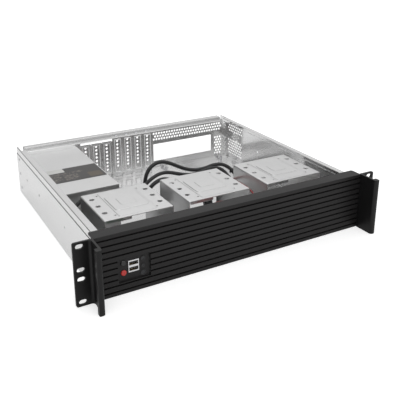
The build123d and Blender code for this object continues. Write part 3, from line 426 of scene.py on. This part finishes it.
# %% [markdown]
# The power supply's label has no wording here. Its place keeps the look of a printed rating plate: a
# dark brown ground, pale columns where a table would be, a white corner and an ochre block. Each field
# is a rectangle in the label's own two directions, made by comparing the place with its edges.

# %% Label fields
label_low, label_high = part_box("psu_label")
# Each field is left, right, front and back, as shares of the label's width and depth.
TABLE_FIELDS = ((0.06, 0.30, 0.10, 0.50), (0.34, 0.58, 0.10, 0.50), (0.06, 0.70, 0.56, 0.66))
OCHRE_FIELD = (0.74, 0.96, 0.08, 0.42)
WHITE_CORNER = (0.03, 0.42, 0.72, 1.01)


def label_film():
    finish = Finish("label_film")
    size = Vector(label_high) - Vector(label_low)
    x, y, _ = finish.split(finish.place())
    across = (x - label_low[0]) / size.x
    along = (y - label_low[1]) / size.y

    def field(left, right, front, back):
        return (across > left) * (across < right) * (along > front) * (along < back)

    print_grain = finish.noise(finish.place(), 900.0, 2.0)
    flecks = finish.noise(finish.stretched((1.0, 2.2, 1.0)), 330.0, 1.0) > 0.55
    ground = finish.blend(print_grain, (0.004, 0.003, 0.003), (0.016, 0.012, 0.010))
    first, second, third = (field(*edges) for edges in TABLE_FIELDS)
    ground = finish.blend((first + second + third) * flecks, ground, (0.19, 0.16, 0.135))
    ground = finish.blend(field(*OCHRE_FIELD), ground, (0.060, 0.040, 0.016))
    ground = finish.blend(field(*WHITE_CORNER), ground, (0.62, 0.62, 0.60))
    return finish.surface(base_color=ground, roughness=0.30 + 0.08 * print_grain, coat_weight=0.15)


label_print = label_film()
print("label size", [round((high - low) / MM, 1) for low, high in zip(label_low, label_high)])

# %% [markdown]
# Every frame node now gets the finish of its material slot. The record of the frame already says which
# slot each node has, so one dictionary from slot to finish dresses them all.

# %% Dress the frame
slot_finish = {
    "zinc_steel": steel,
    "cage_steel": cage_steel,
    "cover_steel": strip_steel,
    "psu_steel": supply_steel,
    "black_aluminium": panel_black,
    "black_paint": ear_black,
    "label_film": label_print,
    "black_plastic": black_plastic,
    "black_gloss": gloss_black,
    "red_plastic": gloss_red,
    "rubber_black": rubber,
    "white_plastic": white_nylon,
    "clear_pipe": clear_pipe,
    "screw_steel": screw_steel,
    "plated_shell": tin_shell,
    "circuit_board": board_green,
    "cable_black": rubber,
    "cable_red": rubber,
}
slot_of = {row["node"]: row["material_slot"] for row in frame["record"]["subparts"]}


def dress(piece, finish):
    piece.data.materials.clear()
    piece.data.materials.append(finish)


for name, piece in nodes.items():
    dress(piece, slot_finish[slot_of[name]])
dress(nodes["rear_wall"], wall_steel)
print("dressed", len(nodes), "nodes")

# %% [markdown]
# The stage is a white floor and a white sky. The camera sees both at full white, as in a product
# photograph, while the light that falls on the case stays at a plain level. Metal and glass see them
# too, a little greyer towards the rear: that is what gives the cages' tops their tone against the walls.
# The left rear corner of the sky is greyer still, so that the walls that face left read as grey.
# The floor mixes a lit surface with a glow, so that the case still darkens it where it stands.

# %% Stage
FLOOR_SIZE = 12.0
FLOOR_DROP = 0.0002
FLOOR_GLOW = 0.55
FLOOR_MIRRORED = 0.18


def looks(tree):
    """One where the camera looks, and one where a mirror or glass ray looks."""
    camera_ray, mirror_ray, glass_ray = [
        tree.node("ShaderNodeLightPath", output=name)
        for name in ("Is Camera Ray", "Is Glossy Ray", "Is Transmission Ray")
    ]
    return camera_ray, tree.node("ShaderNodeMath", {"operation": "MAXIMUM"}, {0: mirror_ray, 1: glass_ray})


def make_floor():
    finish = Finish("white_floor")
    finish.surface(base_color=(0.80, 0.80, 0.80, 1.0), roughness=0.9)
    seen, mirrored = looks(finish)
    strength = FLOOR_GLOW * seen + FLOOR_MIRRORED * mirrored
    glow = finish.node("ShaderNodeEmission", inputs={"Color": (1.0, 1.0, 1.0, 1.0), "Strength": strength})
    lit = Value(finish, finish.shader.outputs[0])
    both = finish.node("ShaderNodeAddShader", inputs={0: lit, 1: glow})
    output = finish.tree.nodes["Material Output"]
    finish.tree.links.new(both.socket, output.inputs["Surface"])
    mesh = bpy.data.meshes.new("floor")
    half = FLOOR_SIZE / 2
    square = ((-half, -half), (half, -half), (half, half), (-half, half))
    mesh.from_pydata([(x, y, -FLOOR_DROP) for x, y in square], [], [(0, 1, 2, 3)])
    mesh.materials.append(finish.material)
    floor = bpy.data.objects.new("floor", mesh)
    bpy.context.collection.objects.link(floor)
    return floor


print("stage piece", make_floor().name)

# %% [markdown]
# One sky lights the case evenly from all sides, as a light tent does. Two soft boxes, one in front and
# one behind, give the folds and cages a direction. The sky that mirrors see is a different value from
# the sky that lights: here a product photographer would set up white and grey cards.

# %% Light
SKY_LIGHT = 0.66
SKY_SEEN = 1.0
SKY_FRONT = 1.0
SKY_REAR = 0.68
SKY_CORNER_DIM = 1.4


def make_sky():
    world = bpy.data.worlds.new("sky")
    world.use_nodes = True
    bpy.context.scene.world = world
    sky = Tree(world.node_tree)
    seen, mirrored = looks(sky)
    direction = sky.node("ShaderNodeTexCoord", output="Generated")
    rightward, rearward = (
        sky.node("ShaderNodeSeparateXYZ", inputs={"Vector": direction}, output=axis) for axis in (0, 1)
    )
    leftward = 0 - rightward
    middle, swing = (SKY_FRONT + SKY_REAR) / 2, (SKY_FRONT - SKY_REAR) / 2
    corner = (rearward > 0) * (leftward > 0) * (rearward * leftward)
    shown = middle - swing * rearward - SKY_CORNER_DIM * corner
    strength = SKY_LIGHT + (SKY_SEEN - SKY_LIGHT) * seen + (shown - SKY_LIGHT) * mirrored
    background = world.node_tree.nodes["Background"]
    background.inputs["Color"].default_value = (1.0, 1.0, 1.0, 1.0)
    world.node_tree.links.new(strength.socket, background.inputs["Strength"])


def soft_box(name, place, target, size, power):
    data = bpy.data.lights.new(name, "AREA")
    data.shape = "RECTANGLE"
    data.size, data.size_y = size
    data.energy = power
    lamp = bpy.data.objects.new(name, data)
    bpy.context.collection.objects.link(lamp)
    lamp.location = place
    lamp.rotation_mode = "QUATERNION"
    lamp.rotation_quaternion = (Vector(target) - Vector(place)).to_track_quat("-Z", "Y")
    return lamp


make_sky()
soft_box("key_light", (-0.3, -0.9, 1.9), (0.0, 0.05, 0.0), (1.4, 1.4), 8.0)
soft_box("rear_light", (0.4, 1.3, 1.5), (0.0, 0.1, 0.0), (1.2, 0.8), 2.0)
bpy.context.scene.view_settings.view_transform = "Standard"

# %% [markdown]
# Screws repeat, so Geometry Nodes make them. The tree first cuts one head: a flattened ball, less a
# block that takes its lower half away, less two crossed bars for the driver. It then sets that head on
# every point of a small mesh. Each point carries the direction it faces and how far its slot is turned.

# %% Where the frame's screws are
def islands(node):
    """Box of every loose part of a frame node, as pairs of low and high corners."""
    shape = bmesh.new()
    shape.from_mesh(nodes[node].data)
    bmesh.ops.remove_doubles(shape, verts=shape.verts, dist=0.00001)
    shape.verts.ensure_lookup_table()
    waiting, boxes = set(shape.verts), []
    while waiting:
        front = [waiting.pop()]
        found = list(front)
        while front:
            for edge in front.pop().link_edges:
                for vertex in edge.verts:
                    if vertex in waiting:
                        waiting.remove(vertex)
                        front.append(vertex)
                        found.append(vertex)
        low = Vector([min(v.co[axis] for v in found) for axis in range(3)])
        high = Vector([max(v.co[axis] for v in found) for axis in range(3)])
        boxes.append((low, high))
    shape.free()
    return sorted(boxes, key=lambda pair: tuple(pair[0]))


# %% [markdown]
# Geometry Nodes need three helpers. A tree with named inputs keeps a screw's sizes adjustable, a mesh of
# loose points says where the copies go, and a third function turns the result into a plain mesh.

# %% Geometry Nodes tools
class Shape(Tree):
    """A Geometry Nodes tree with named inputs that ends in Realize Instances and Set Material."""

    def __init__(self, name, inputs):
        tree = bpy.data.node_groups.new(name, "GeometryNodeTree")
        super().__init__(tree)
        tree.interface.new_socket("Geometry", in_out="INPUT", socket_type="NodeSocketGeometry")
        for label, kind, default in inputs:
            socket = tree.interface.new_socket(label, in_out="INPUT", socket_type=kind)
            if default is not None:
                socket.default_value = default
        tree.interface.new_socket("Geometry", in_out="OUTPUT", socket_type="NodeSocketGeometry")
        self.group_input = tree.nodes.new("NodeGroupInput")
        self.group_output = tree.nodes.new("NodeGroupOutput")

    def given(self, label):
        return Value(self, self.group_input.outputs[label])

    def end(self, geometry):
        whole = self.node("GeometryNodeRealizeInstances", inputs={0: geometry})
        done = self.node("GeometryNodeSetMaterial", inputs={0: whole, "Material": self.given("Material")})
        self.tree.links.new(done.socket, self.group_output.inputs[0])
        return self.tree

    def cut(self, solid, tool):
        settings = {"operation": "DIFFERENCE", "solver": "EXACT"}
        return self.node("GeometryNodeMeshBoolean", settings, {"Mesh 1": solid, "Mesh 2": tool})

    def vector(self, x=0.0, y=0.0, z=0.0):
        return self.node("ShaderNodeCombineXYZ", inputs={0: x, 1: y, 2: z})


def grow(name, carrier, tree, settings):
    """Applies a tree to a carrier mesh and returns the result as a plain mesh object."""
    modifier = carrier.modifiers.new("shape", "NODES")
    modifier.node_group = tree
    sockets = {item.name: item.identifier for item in tree.interface.items_tree if item.in_out == "INPUT"}
    for label, value in settings.items():
        modifier[sockets[label]] = value
    evaluated = carrier.evaluated_get(bpy.context.evaluated_depsgraph_get())
    mesh = bpy.data.meshes.new_from_object(evaluated)
    carrier.modifiers.remove(modifier)
    bpy.data.objects.remove(carrier)
    mesh.name = name
    made = bpy.data.objects.new(name, mesh)
    bpy.context.collection.objects.link(made)
    return made


def point_cloud(name, points, attributes):
    """Mesh of loose points, with a vector or number stored on each."""
    mesh = bpy.data.meshes.new(name)
    mesh.from_pydata([tuple(point) for point in points], [], [])
    for label, (kind, values) in attributes.items():
        layer = mesh.attributes.new(label, kind, "POINT")
        for item, value in zip(layer.data, values):
            if kind == "FLOAT_VECTOR":
                item.vector = value
            else:
                item.value = value
    carrier = bpy.data.objects.new(name, mesh)
    bpy.context.collection.objects.link(carrier)
    return carrier


# %% [markdown]
# A pan-head screw has a low domed head with a cross for the driver. A blind rivet has the same dome with
# the open end of its bore. Both are cut from one dome, so only the cutting tools differ.

# %% One head on every point
def dome(shape, diameter, height):
    """Upper half of a flattened ball, standing on the ground plane."""
    ball = shape.node("GeometryNodeMeshUVSphere", inputs={"Segments": 24, "Rings": 12, "Radius": 1.0})
    flat = shape.vector(diameter * 0.5, diameter * 0.5, height)
    ball = shape.node("GeometryNodeTransform", inputs={0: ball, "Scale": flat})
    size = shape.vector(diameter * 2, diameter * 2, height * 4)
    block = shape.node("GeometryNodeMeshCube", inputs={"Size": size})
    lower = shape.vector(z=height * -2.0)
    return shape.cut(ball, shape.node("GeometryNodeTransform", inputs={0: block, "Translation": lower}))


def on_points(shape, head):
    """Copies of a head on the given points, each turned and facing as its point says."""
    facing = shape.node("GeometryNodeInputNamedAttribute", {"data_type": "FLOAT_VECTOR"}, {"Name": "facing"})
    turn = shape.node("GeometryNodeInputNamedAttribute", {"data_type": "FLOAT"}, {"Name": "turn"})
    twist = shape.node("FunctionNodeAxisAngleToRotation", inputs={"Axis": (0.0, 0.0, 1.0), "Angle": turn})
    stand = shape.node(
        "FunctionNodeAlignRotationToVector", {"axis": "Z"}, {"Rotation": (0.0, 0.0, 0.0), "Vector": facing}
    )
    both = shape.node("FunctionNodeRotateRotation", {"rotation_space": "LOCAL"}, {0: stand, 1: twist})
    inputs = {"Points": shape.given("Geometry"), "Instance": head, "Rotation": both}
    return shape.node("GeometryNodeInstanceOnPoints", inputs=inputs)


def screw_tree():
    shape = Shape("cross_head_screws", [
        ("Diameter", "NodeSocketFloat", 0.006),
        ("Height", "NodeSocketFloat", 0.0016),
        ("Slot", "NodeSocketFloat", 0.0009),
        ("Material", "NodeSocketMaterial", None),
    ])
    diameter, height, slot = shape.given("Diameter"), shape.given("Height"), shape.given("Slot")
    head = dome(shape, diameter, height)
    for long_x, long_y in ((0.56, 0.0), (0.0, 0.56)):
        size = shape.vector(diameter * long_x + slot, diameter * long_y + slot, height)
        bar = shape.node("GeometryNodeMeshCube", inputs={"Size": size})
        raised = shape.vector(z=height)
        head = shape.cut(head, shape.node("GeometryNodeTransform", inputs={0: bar, "Translation": raised}))
    return shape.end(on_points(shape, head))


def rivet_tree():
    shape = Shape("hollow_rivets", [
        ("Diameter", "NodeSocketFloat", 0.005),
        ("Height", "NodeSocketFloat", 0.0008),
        ("Bore", "NodeSocketFloat", 0.0016),
        ("Material", "NodeSocketMaterial", None),
    ])
    height = shape.given("Height")
    inputs = {"Radius": shape.given("Bore") * 0.5, "Depth": height, "Vertices": 20}
    drill = shape.node("GeometryNodeMeshCylinder", inputs=inputs)
    drill = shape.node("GeometryNodeTransform", inputs={0: drill, "Translation": shape.vector(z=height)})
    head = shape.cut(dome(shape, shape.given("Diameter"), height), drill)
    return shape.end(on_points(shape, head))


screws, rivets = screw_tree(), rivet_tree()
print("screw tree", len(screws.nodes), "nodes, rivet tree", len(rivets.nodes))

# %% [markdown]
# Each screw node of the frame is replaced by better heads at the same places. The side on which a head
# stands is worked out from the loose parts' boxes: it is the end of the box away from the sheet.

# %% Set the heads
TURN_STEP = 0.9
SCREW_HEIGHT = 0.0016
RIVET_HEIGHT = 0.0008


def heads(node, facing, tree, height):
    """Heads for one frame node. `facing` gives the outward direction for a loose part's centre."""
    points, directions, diameters = [], [], []
    for low, high in islands(node):
        centre = (low + high) / 2
        direction = Vector(facing(centre))
        axis = max(range(3), key=lambda index: abs(direction[index]))
        end = high[axis] if direction[axis] > 0 else low[axis]
        centre[axis] = end - direction[axis] * height
        points.append(centre)
        directions.append(direction)
        diameters.append((high - low)[(axis + 1) % 3])
    turns = [TURN_STEP * (index + 1) for index in range(len(points))]
    attributes = {"facing": ("FLOAT_VECTOR", directions), "turn": ("FLOAT", turns)}
    carrier = point_cloud(node, points, attributes)
    settings = {"Diameter": diameters[-1], "Height": height, "Material": screw_steel}
    made = grow(node + "_heads", carrier, tree, settings)
    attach(made, CASE)
    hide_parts(node)
    print(made.name, len(points), "heads", len(made.data.polygons), "faces")
    return made


def upward(centre):
    return 0.0, 0.0, 1.0


def rearward(centre):
    return 0.0, 1.0, 0.0


def sideways(centre):
    return math.copysign(1.0, centre.x), 0.0, 0.0


heads("slot_screws", upward, screws, SCREW_HEIGHT)
heads("cage_screws", upward, screws, SCREW_HEIGHT)
heads("psu_screws", rearward, screws, SCREW_HEIGHT)
heads("panel_screws", rearward, screws, SCREW_HEIGHT)
heads("ear_screws", sideways, screws, SCREW_HEIGHT)
heads("wall_rivets", sideways, rivets, RIVET_HEIGHT)

# %% [markdown]
# A lead follows a smooth spline through a few given points, the same points that the frame
# uses. The sleeve is a mesh tube along that line. Its own UV map runs round and along it, so the braid
# follows every bend, which a pattern in space could not do.

# %% Braided sleeve finish
def braided(name, tone, strands=11.0, pitch=260.0):
    finish = Finish(name)
    along_round = finish.node("ShaderNodeUVMap", {"uv_map": "sleeve"})
    around, along, _ = finish.split(along_round)

    def wave(phase):
        return finish.node("ShaderNodeMath", {"operation": "SINE"}, {0: phase})

    left = wave(around * (strands * math.tau) + along * (pitch * math.tau))
    right = wave(around * (strands * math.tau) - along * (pitch * math.tau))
    woven = 0.5 + 0.25 * left + 0.25 * right
    dark = tuple(channel * 0.45 for channel in tone)
    return finish.surface(
        base_color=finish.blend(woven, dark, tone),
        roughness=0.42 + 0.18 * woven,
        normal=finish.bump(woven, 0.0004, 0.8),
    )


sleeve_black = braided("braided_sleeve", (0.035, 0.035, 0.037))
sheath_black = moulded("lead_sheath_black", (0.016, 0.016, 0.017), 0.38)
sheath_red = moulded("lead_sheath_red", (0.26, 0.018, 0.02), 0.40)

# %% [markdown]
# Blender can bevel a curve into a tube, but a lead needs a closed mesh with its own UV map. So the curve
# only gives the centre line, and rings of points are carried along it without twisting.

# %% Tubes along a route
def centreline(route):
    """Points along the smooth spline of a route, evenly enough spaced for a tube."""
    data = bpy.data.curves.new("route", "CURVE")
    data.dimensions = "3D"
    data.resolution_u = 14
    spline = data.splines.new("NURBS")
    spline.points.add(len(route) - 1)
    for point, place in zip(spline.points, route):
        point.co = (*place, 1.0)
    spline.order_u = 3
    spline.use_endpoint_u = True
    carrier = bpy.data.objects.new("route", data)
    bpy.context.collection.objects.link(carrier)
    bpy.context.view_layer.update()
    evaluated = carrier.evaluated_get(bpy.context.evaluated_depsgraph_get())
    mesh = bpy.data.meshes.new_from_object(evaluated)
    line = [vertex.co.copy() for vertex in mesh.vertices]
    bpy.data.objects.remove(carrier)
    bpy.data.meshes.remove(mesh)
    return line


def length_of(line):
    return sum((b - a).length for a, b in zip(line, line[1:]))


def rings_along(line, radius, sides):
    """Rings of points carried along a line without twisting, and the distance of each."""
    tangent = (line[1] - line[0]).normalized()
    side = tangent.orthogonal().normalized()
    rings, travelled, walked = [], [], 0.0
    for index, point in enumerate(line):
        ahead = line[min(index + 1, len(line) - 1)]
        behind = line[max(index - 1, 0)]
        turned = (ahead - behind).normalized()
        side = (tangent.rotation_difference(turned) @ side).normalized()
        tangent = turned
        up = tangent.cross(side)
        if index:
            walked += (point - line[index - 1]).length
        angles = [math.tau * step / sides for step in range(sides)]
        rings.append([point + (side * math.cos(a) + up * math.sin(a)) * radius for a in angles])
        travelled.append(walked)
    return rings, travelled


def tube(name, line, radius, finish, sides=20):
    """Closed tube along a line, with a UV map that runs round it once and along it in metres."""
    rings, travelled = rings_along(line, radius, sides)
    verts = [point for ring in rings for point in ring]
    faces, uvs = [], []
    for row in range(len(rings) - 1):
        for step in range(sides):
            near, far = row * sides, (row + 1) * sides
            after = (step + 1) % sides
            faces.append((near + step, near + after, far + after, far + step))
            u0, u1 = step / sides, (step + 1) / sides
            v0, v1 = travelled[row], travelled[row + 1]
            uvs.extend([(u0, v0), (u1, v0), (u1, v1), (u0, v1)])
    faces.append(tuple(reversed(range(sides))))
    faces.append(tuple(range((len(rings) - 1) * sides, len(rings) * sides)))
    uvs.extend([(0.0, 0.0)] * (2 * sides))
    mesh = bpy.data.meshes.new(name)
    mesh.from_pydata([tuple(vertex) for vertex in verts], [], faces)
    layer = mesh.uv_layers.new(name="sleeve")
    for loop, uv in zip(layer.data, uvs):
        loop.uv = uv
    for polygon in mesh.polygons:
        polygon.use_smooth = len(polygon.vertices) == 4
    mesh.materials.append(finish)
    made = bpy.data.objects.new(name, mesh)
    bpy.context.collection.objects.link(made)
    return made


# %% [markdown]
# Four black leads leave the power supply through one grommet. Two of them loop up behind the middle cage,
# one humps over to the right, and one turns back round the supply's front. Two thin red leads run from
# the control board behind the bulkhead and between two cages. All points repeat the frame's own routes.

# %% Routes
PLUG_LENGTH = 14.0


def route(points):
    """Route points given as x, distance behind the rack plane and height, in millimetres."""
    return [Vector((x * MM, FACE_Y + depth * MM, z * MM)) for x, depth, z in points]


GROMMET_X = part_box("psu_grommet")[1][0] / MM
HEADER_DEPTH = (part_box("board_plug")[1][1] - FACE_Y) / MM


def from_grommet(depth, height):
    return [(GROMMET_X, depth, height), (GROMMET_X + 16, depth, height)]


routes = {
    "main_lead": route([
        *from_grommet(198.5, 21.7), (-72, 203, 18), (-58, 211, 22), (-49, 217, 34), (-47, 220, 49),
        (-43, 221, 64), (-33, 221, 76), (-18, 221, 80), (-2, 221, 75), (14, 219, 66), (30, 218, 58),
        (47, 218, 53), (65, 218, 53), (82, 217, 57), (98, 213, 57), (110, 205, 49), (116, 194, 37),
        (118, 182, 25),
    ]),
    "processor_lead": route([
        *from_grommet(198.5, 28.5), (-73, 199, 38), (-59, 201, 50), (-44, 203, 60), (-27, 205, 66),
        (-10, 205, 65), (6, 205, 59), (22, 205, 54), (38, 205, 52), (54, 204, 55), (70, 202, 59),
        (84, 198, 57), (93, 190, 47), (97, 181, 36), (98, 173, 24),
    ]),
    "drive_lead": route([
        *from_grommet(191.5, 21.9), (-75, 189, 26), (-65, 186, 38), (-58, 183, 51), (-48, 181, 62),
        (-34, 180, 67), (-19, 180, 62), (-8, 179, 51), (0, 177, 38), (9, 174, 27), (21, 171, 21),
        (35, 169, 19),
    ]),
    "cage_lead": route([
        *from_grommet(191.6, 28.6), (-79, 186, 38), (-76, 177, 51), (-84, 169, 63), (-98, 166, 69),
        (-115, 166, 69), (-133, 167, 68), (-151, 167, 68), (-169, 167, 66), (-185, 162, 60),
        (-194, 150, 49), (-197, 134, 39), (-196, 118, 31), (-195, 102, 26),
    ]),
    "sensor_lead": route([
        (-154, HEADER_DEPTH, 34), (-154, 32.1, 34), (-149, 42.1, 35), (-137, 50, 37), (-122, 53, 40),
        (-104, 54, 42), (-84, 54, 43), (-64, 54, 42), (-44, 54, 40), (-24, 54, 39), (-4, 54, 40),
        (16, 54, 42), (35, 54, 45), (53, 54, 51), (64, 61, 57), (68, 75, 61), (68, 90, 64),
        (68, 106, 64), (68, 122, 63), (69, 137, 60), (74, 150, 55), (81, 161, 48),
    ]),
    "signal_lead": route([
        (-147, HEADER_DEPTH, 34), (-147, 31.1, 34), (-141, 39.1, 34), (-128, 43, 34), (-112, 45, 34),
        (-94, 45, 35), (-76, 45, 40), (-60, 46, 49), (-45, 48, 60), (-29, 49, 68), (-11, 49, 72),
        (7, 49, 70), (21, 49, 62), (32, 49, 51), (44, 49, 41), (57, 53, 34), (65, 64, 31),
        (66, 80, 30), (66, 98, 30), (67, 116, 31), (68, 134, 29), (72, 150, 24), (79, 164, 18),
        (86, 178, 14),
    ]),
}
print("routes", {name: len(points) for name, points in routes.items()})

# %% [markdown]
# A plug is one closed skin: a block whose end face is divided into cells, each with a square well. Its
# side faces share their edges with the cells, so that no seam is left open. A latch stands on one side.

# %% Connectors
class Skin:
    """Collects faces by their corner places, so that faces that meet share corners."""

    def __init__(self):
        self.corners, self.faces = {}, []

    def corner(self, place):
        key = tuple(round(value, 7) for value in place)
        return self.corners.setdefault(key, len(self.corners))

    def face(self, *places):
        self.faces.append([self.corner(place) for place in places])

    def block(self, low, high):
        (x0, y0, z0), (x1, y1, z1) = low, high
        self.face((x0, y0, z0), (x0, y1, z0), (x1, y1, z0), (x1, y0, z0))
        self.face((x0, y0, z1), (x1, y0, z1), (x1, y1, z1), (x0, y1, z1))
        self.face((x0, y0, z0), (x1, y0, z0), (x1, y0, z1), (x0, y0, z1))
        self.face((x1, y0, z0), (x1, y1, z0), (x1, y1, z1), (x1, y0, z1))
        self.face((x1, y1, z0), (x0, y1, z0), (x0, y1, z1), (x1, y1, z1))
        self.face((x0, y1, z0), (x0, y0, z0), (x0, y0, z1), (x0, y1, z1))

    def mesh(self, name, finish, frame=lambda place: place):
        mesh = bpy.data.meshes.new(name)
        places = [tuple(frame(Vector(place))) for place in self.corners]
        mesh.from_pydata(places, [], self.faces)
        mesh.materials.append(finish)
        made = bpy.data.objects.new(name, mesh)
        bpy.context.collection.objects.link(made)
        return made


WELL_MARGIN = 0.18
WELL_FLOOR = 0.45


def plug_skin(width, height, length, columns, rows):
    """Block along +Z with wells in its far face, centred on the Z axis and starting at zero."""
    skin = Skin()
    xs = [width * (index / columns - 0.5) for index in range(columns + 1)]
    ys = [height * (index / rows - 0.5) for index in range(rows + 1)]
    margin = WELL_MARGIN * min(width / columns, height / rows)
    floor = length * WELL_FLOOR
    for x0, x1 in zip(xs, xs[1:]):
        for y0, y1 in zip(ys, ys[1:]):
            outer = [(x0, y0), (x1, y0), (x1, y1), (x0, y1)]
            a, b, c, d = x0 + margin, x1 - margin, y0 + margin, y1 - margin
            inner = [(a, c), (b, c), (b, d), (a, d)]
            for index in range(4):
                o0, o1 = outer[index], outer[(index + 1) % 4]
                i0, i1 = inner[index], inner[(index + 1) % 4]
                skin.face((*o0, length), (*o1, length), (*i1, length), (*i0, length))
                skin.face((*i0, length), (*i1, length), (*i1, floor), (*i0, floor))
            skin.face(*[(*place, floor) for place in inner])
    half_w, half_h = width / 2, height / 2
    skin.face((-half_w, -half_h, 0), (-half_w, half_h, 0), (half_w, half_h, 0), (half_w, -half_h, 0))
    skin.face((-half_w, -half_h, 0), (half_w, -half_h, 0), *[(x, -half_h, length) for x in reversed(xs)])
    skin.face((half_w, half_h, 0), (-half_w, half_h, 0), *[(x, half_h, length) for x in xs])
    skin.face((half_w, -half_h, 0), (half_w, half_h, 0), *[(half_w, y, length) for y in reversed(ys)])
    skin.face((-half_w, half_h, 0), (-half_w, -half_h, 0), *[(-half_w, y, length) for y in ys])
    latch = min(2.4 * MM, width / 4)
    skin.block((-latch, half_h + 0.05 * MM, length * 0.2), (latch, half_h + 0.9 * MM, length * 0.9))
    skin.block((-latch, half_h + 0.9 * MM, length * 0.72), (latch, half_h + 1.7 * MM, length * 0.9))
    return skin


def connector(node, lead, size, cells, finish):
    """Plug that carries on from the last run of its lead, in place of the frame's block."""
    before, end = routes[lead][-2:]
    ahead = (end - before).normalized()
    side = Vector((1.0, 0.0, 0.0))
    side = (side - ahead * side.dot(ahead)).normalized()
    up = ahead.cross(side)
    width, height = (value * MM for value in size)
    skin = plug_skin(width, height, PLUG_LENGTH * MM, *cells)
    made = skin.mesh(
        node + "_body", finish, lambda place: end + side * place.x + up * place.y + ahead * place.z
    )
    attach(made, CASE)
    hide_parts(node)
    return made


# Each plug: its lead, its width and height in millimetres, its wells across and down, and its finish.
plugs = {
    "main_plug": ("main_lead", (22, 10), (6, 2), white_nylon),
    "processor_plug": ("processor_lead", (10, 10), (2, 2), white_nylon),
    "drive_plug": ("drive_lead", (20, 7), (5, 1), black_plastic),
    "cage_plug": ("cage_lead", (7, 20), (1, 5), black_plastic),
    "signal_plug": ("signal_lead", (12, 6), (4, 2), black_plastic),
    "sensor_plug": ("sensor_lead", (6, 6), (2, 2), black_plastic),
}
connectors = {plug[0]: connector(node, *plug) for node, plug in plugs.items()}
print("connectors", [made.name for made in connectors.values()])

# %% [markdown]
# Each lead now becomes a tube with its own thickness and covering.

# %% Lay the leads
lines = {name: centreline(points) for name, points in routes.items()}
leads = {
    "main_lead": (6.4, sheath_black),
    "processor_lead": (6.0, sleeve_black),
    "drive_lead": (6.4, sleeve_black),
    "cage_lead": (5.6, sleeve_black),
    "signal_lead": (3.6, sheath_red),
    "sensor_lead": (2.8, sheath_red),
}


def lay_lead(node, diameter, finish):
    line = lines[node]
    made = tube(node + "_sleeve", line, diameter * MM / 2, finish)
    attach(made, CASE)
    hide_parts(node)
    length_of(line)
    diameter * MM
    print(node, "length", round(length_of(line), 4))
    return made


for node, (diameter, finish) in leads.items():
    lay_lead(node, diameter, finish)

# %% [markdown]
# Nylon ties hold each black lead near its ends. A tie is a short band a little wider than the lead, with
# a square lock and a cut tail.

# %% Ties
TIE_WIDTH = 2.6 * MM
TIE_THICK = 0.45 * MM
TIE_SIDES = 24
# How far along each lead its ties stand, in millimetres.
TIE_PLACES = {
    "main_lead": (60, 270), "processor_lead": (44, 226), "drive_lead": (40, 160), "cage_lead": (90, 216),
}


def place_on(line, distance):
    """Point and direction at a distance along a line."""
    for start, end in zip(line, line[1:]):
        step = (end - start).length
        if distance < step:
            return start + (end - start) * (distance / step), (end - start).normalized()
        distance -= step
    return line[-1], (line[-1] - line[-2]).normalized()


def tie(lead, diameter, distance):
    centre, ahead = place_on(lines[lead], distance * MM)
    side = ahead.orthogonal().normalized()
    up = ahead.cross(side)
    outer = diameter * MM / 2 + TIE_THICK
    inner = diameter * MM / 2 - TIE_THICK
    half, skin = TIE_WIDTH / 2, Skin()
    angles = [math.tau * index / TIE_SIDES for index in range(TIE_SIDES + 1)]
    for a, b in zip(angles, angles[1:-1] + [0.0]):
        ring = [
            [(radius * math.cos(angle), radius * math.sin(angle), level) for angle in (a, b)]
            for radius, level in ((outer, -half), (outer, half), (inner, half), (inner, -half))
        ]
        for (p0, p1), (q0, q1) in zip(ring, ring[1:] + ring[:1]):
            skin.face(p0, p1, q1, q0)
    lock = 0.7 * TIE_WIDTH
    skin.block((-lock, outer - 0.1 * MM, -lock), (lock, outer + 1.2 * MM, lock))
    skin.block((lock + 0.01 * MM, outer + 0.2 * MM, -half), (lock + 2.5 * MM, outer + 0.8 * MM, half))
    made = skin.mesh(
        f"{lead}_tie_{distance}", black_plastic,
        lambda place: centre + side * place.x + up * place.y + ahead * place.z,
    )
    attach(made, CASE)
    return made


for lead, distances in TIE_PLACES.items():
    for distance in distances:
        tie(lead, leads[lead][0], distance)
print("ties laid on", list(TIE_PLACES))

# %% [markdown]
# The sockets need their contacts. Four gilt strips lie on each tongue, set back from its front edge.

# %% Socket contacts
def socket_contacts():
    skin = Skin()
    for low, high in islands("usb_tongues"):
        pitch = (high.x - low.x) / 4
        for index in range(4):
            middle = low.x + pitch * (index + 0.5)
            skin.block(
                (middle - 0.5 * MM, low.y + 0.8 * MM, low.z - 0.12 * MM),
                (middle + 0.5 * MM, high.y - 0.6 * MM, low.z + 0.05 * MM),
            )
    made = skin.mesh("socket_contacts", gold)
    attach(made, CASE)
    return made


socket_contacts()
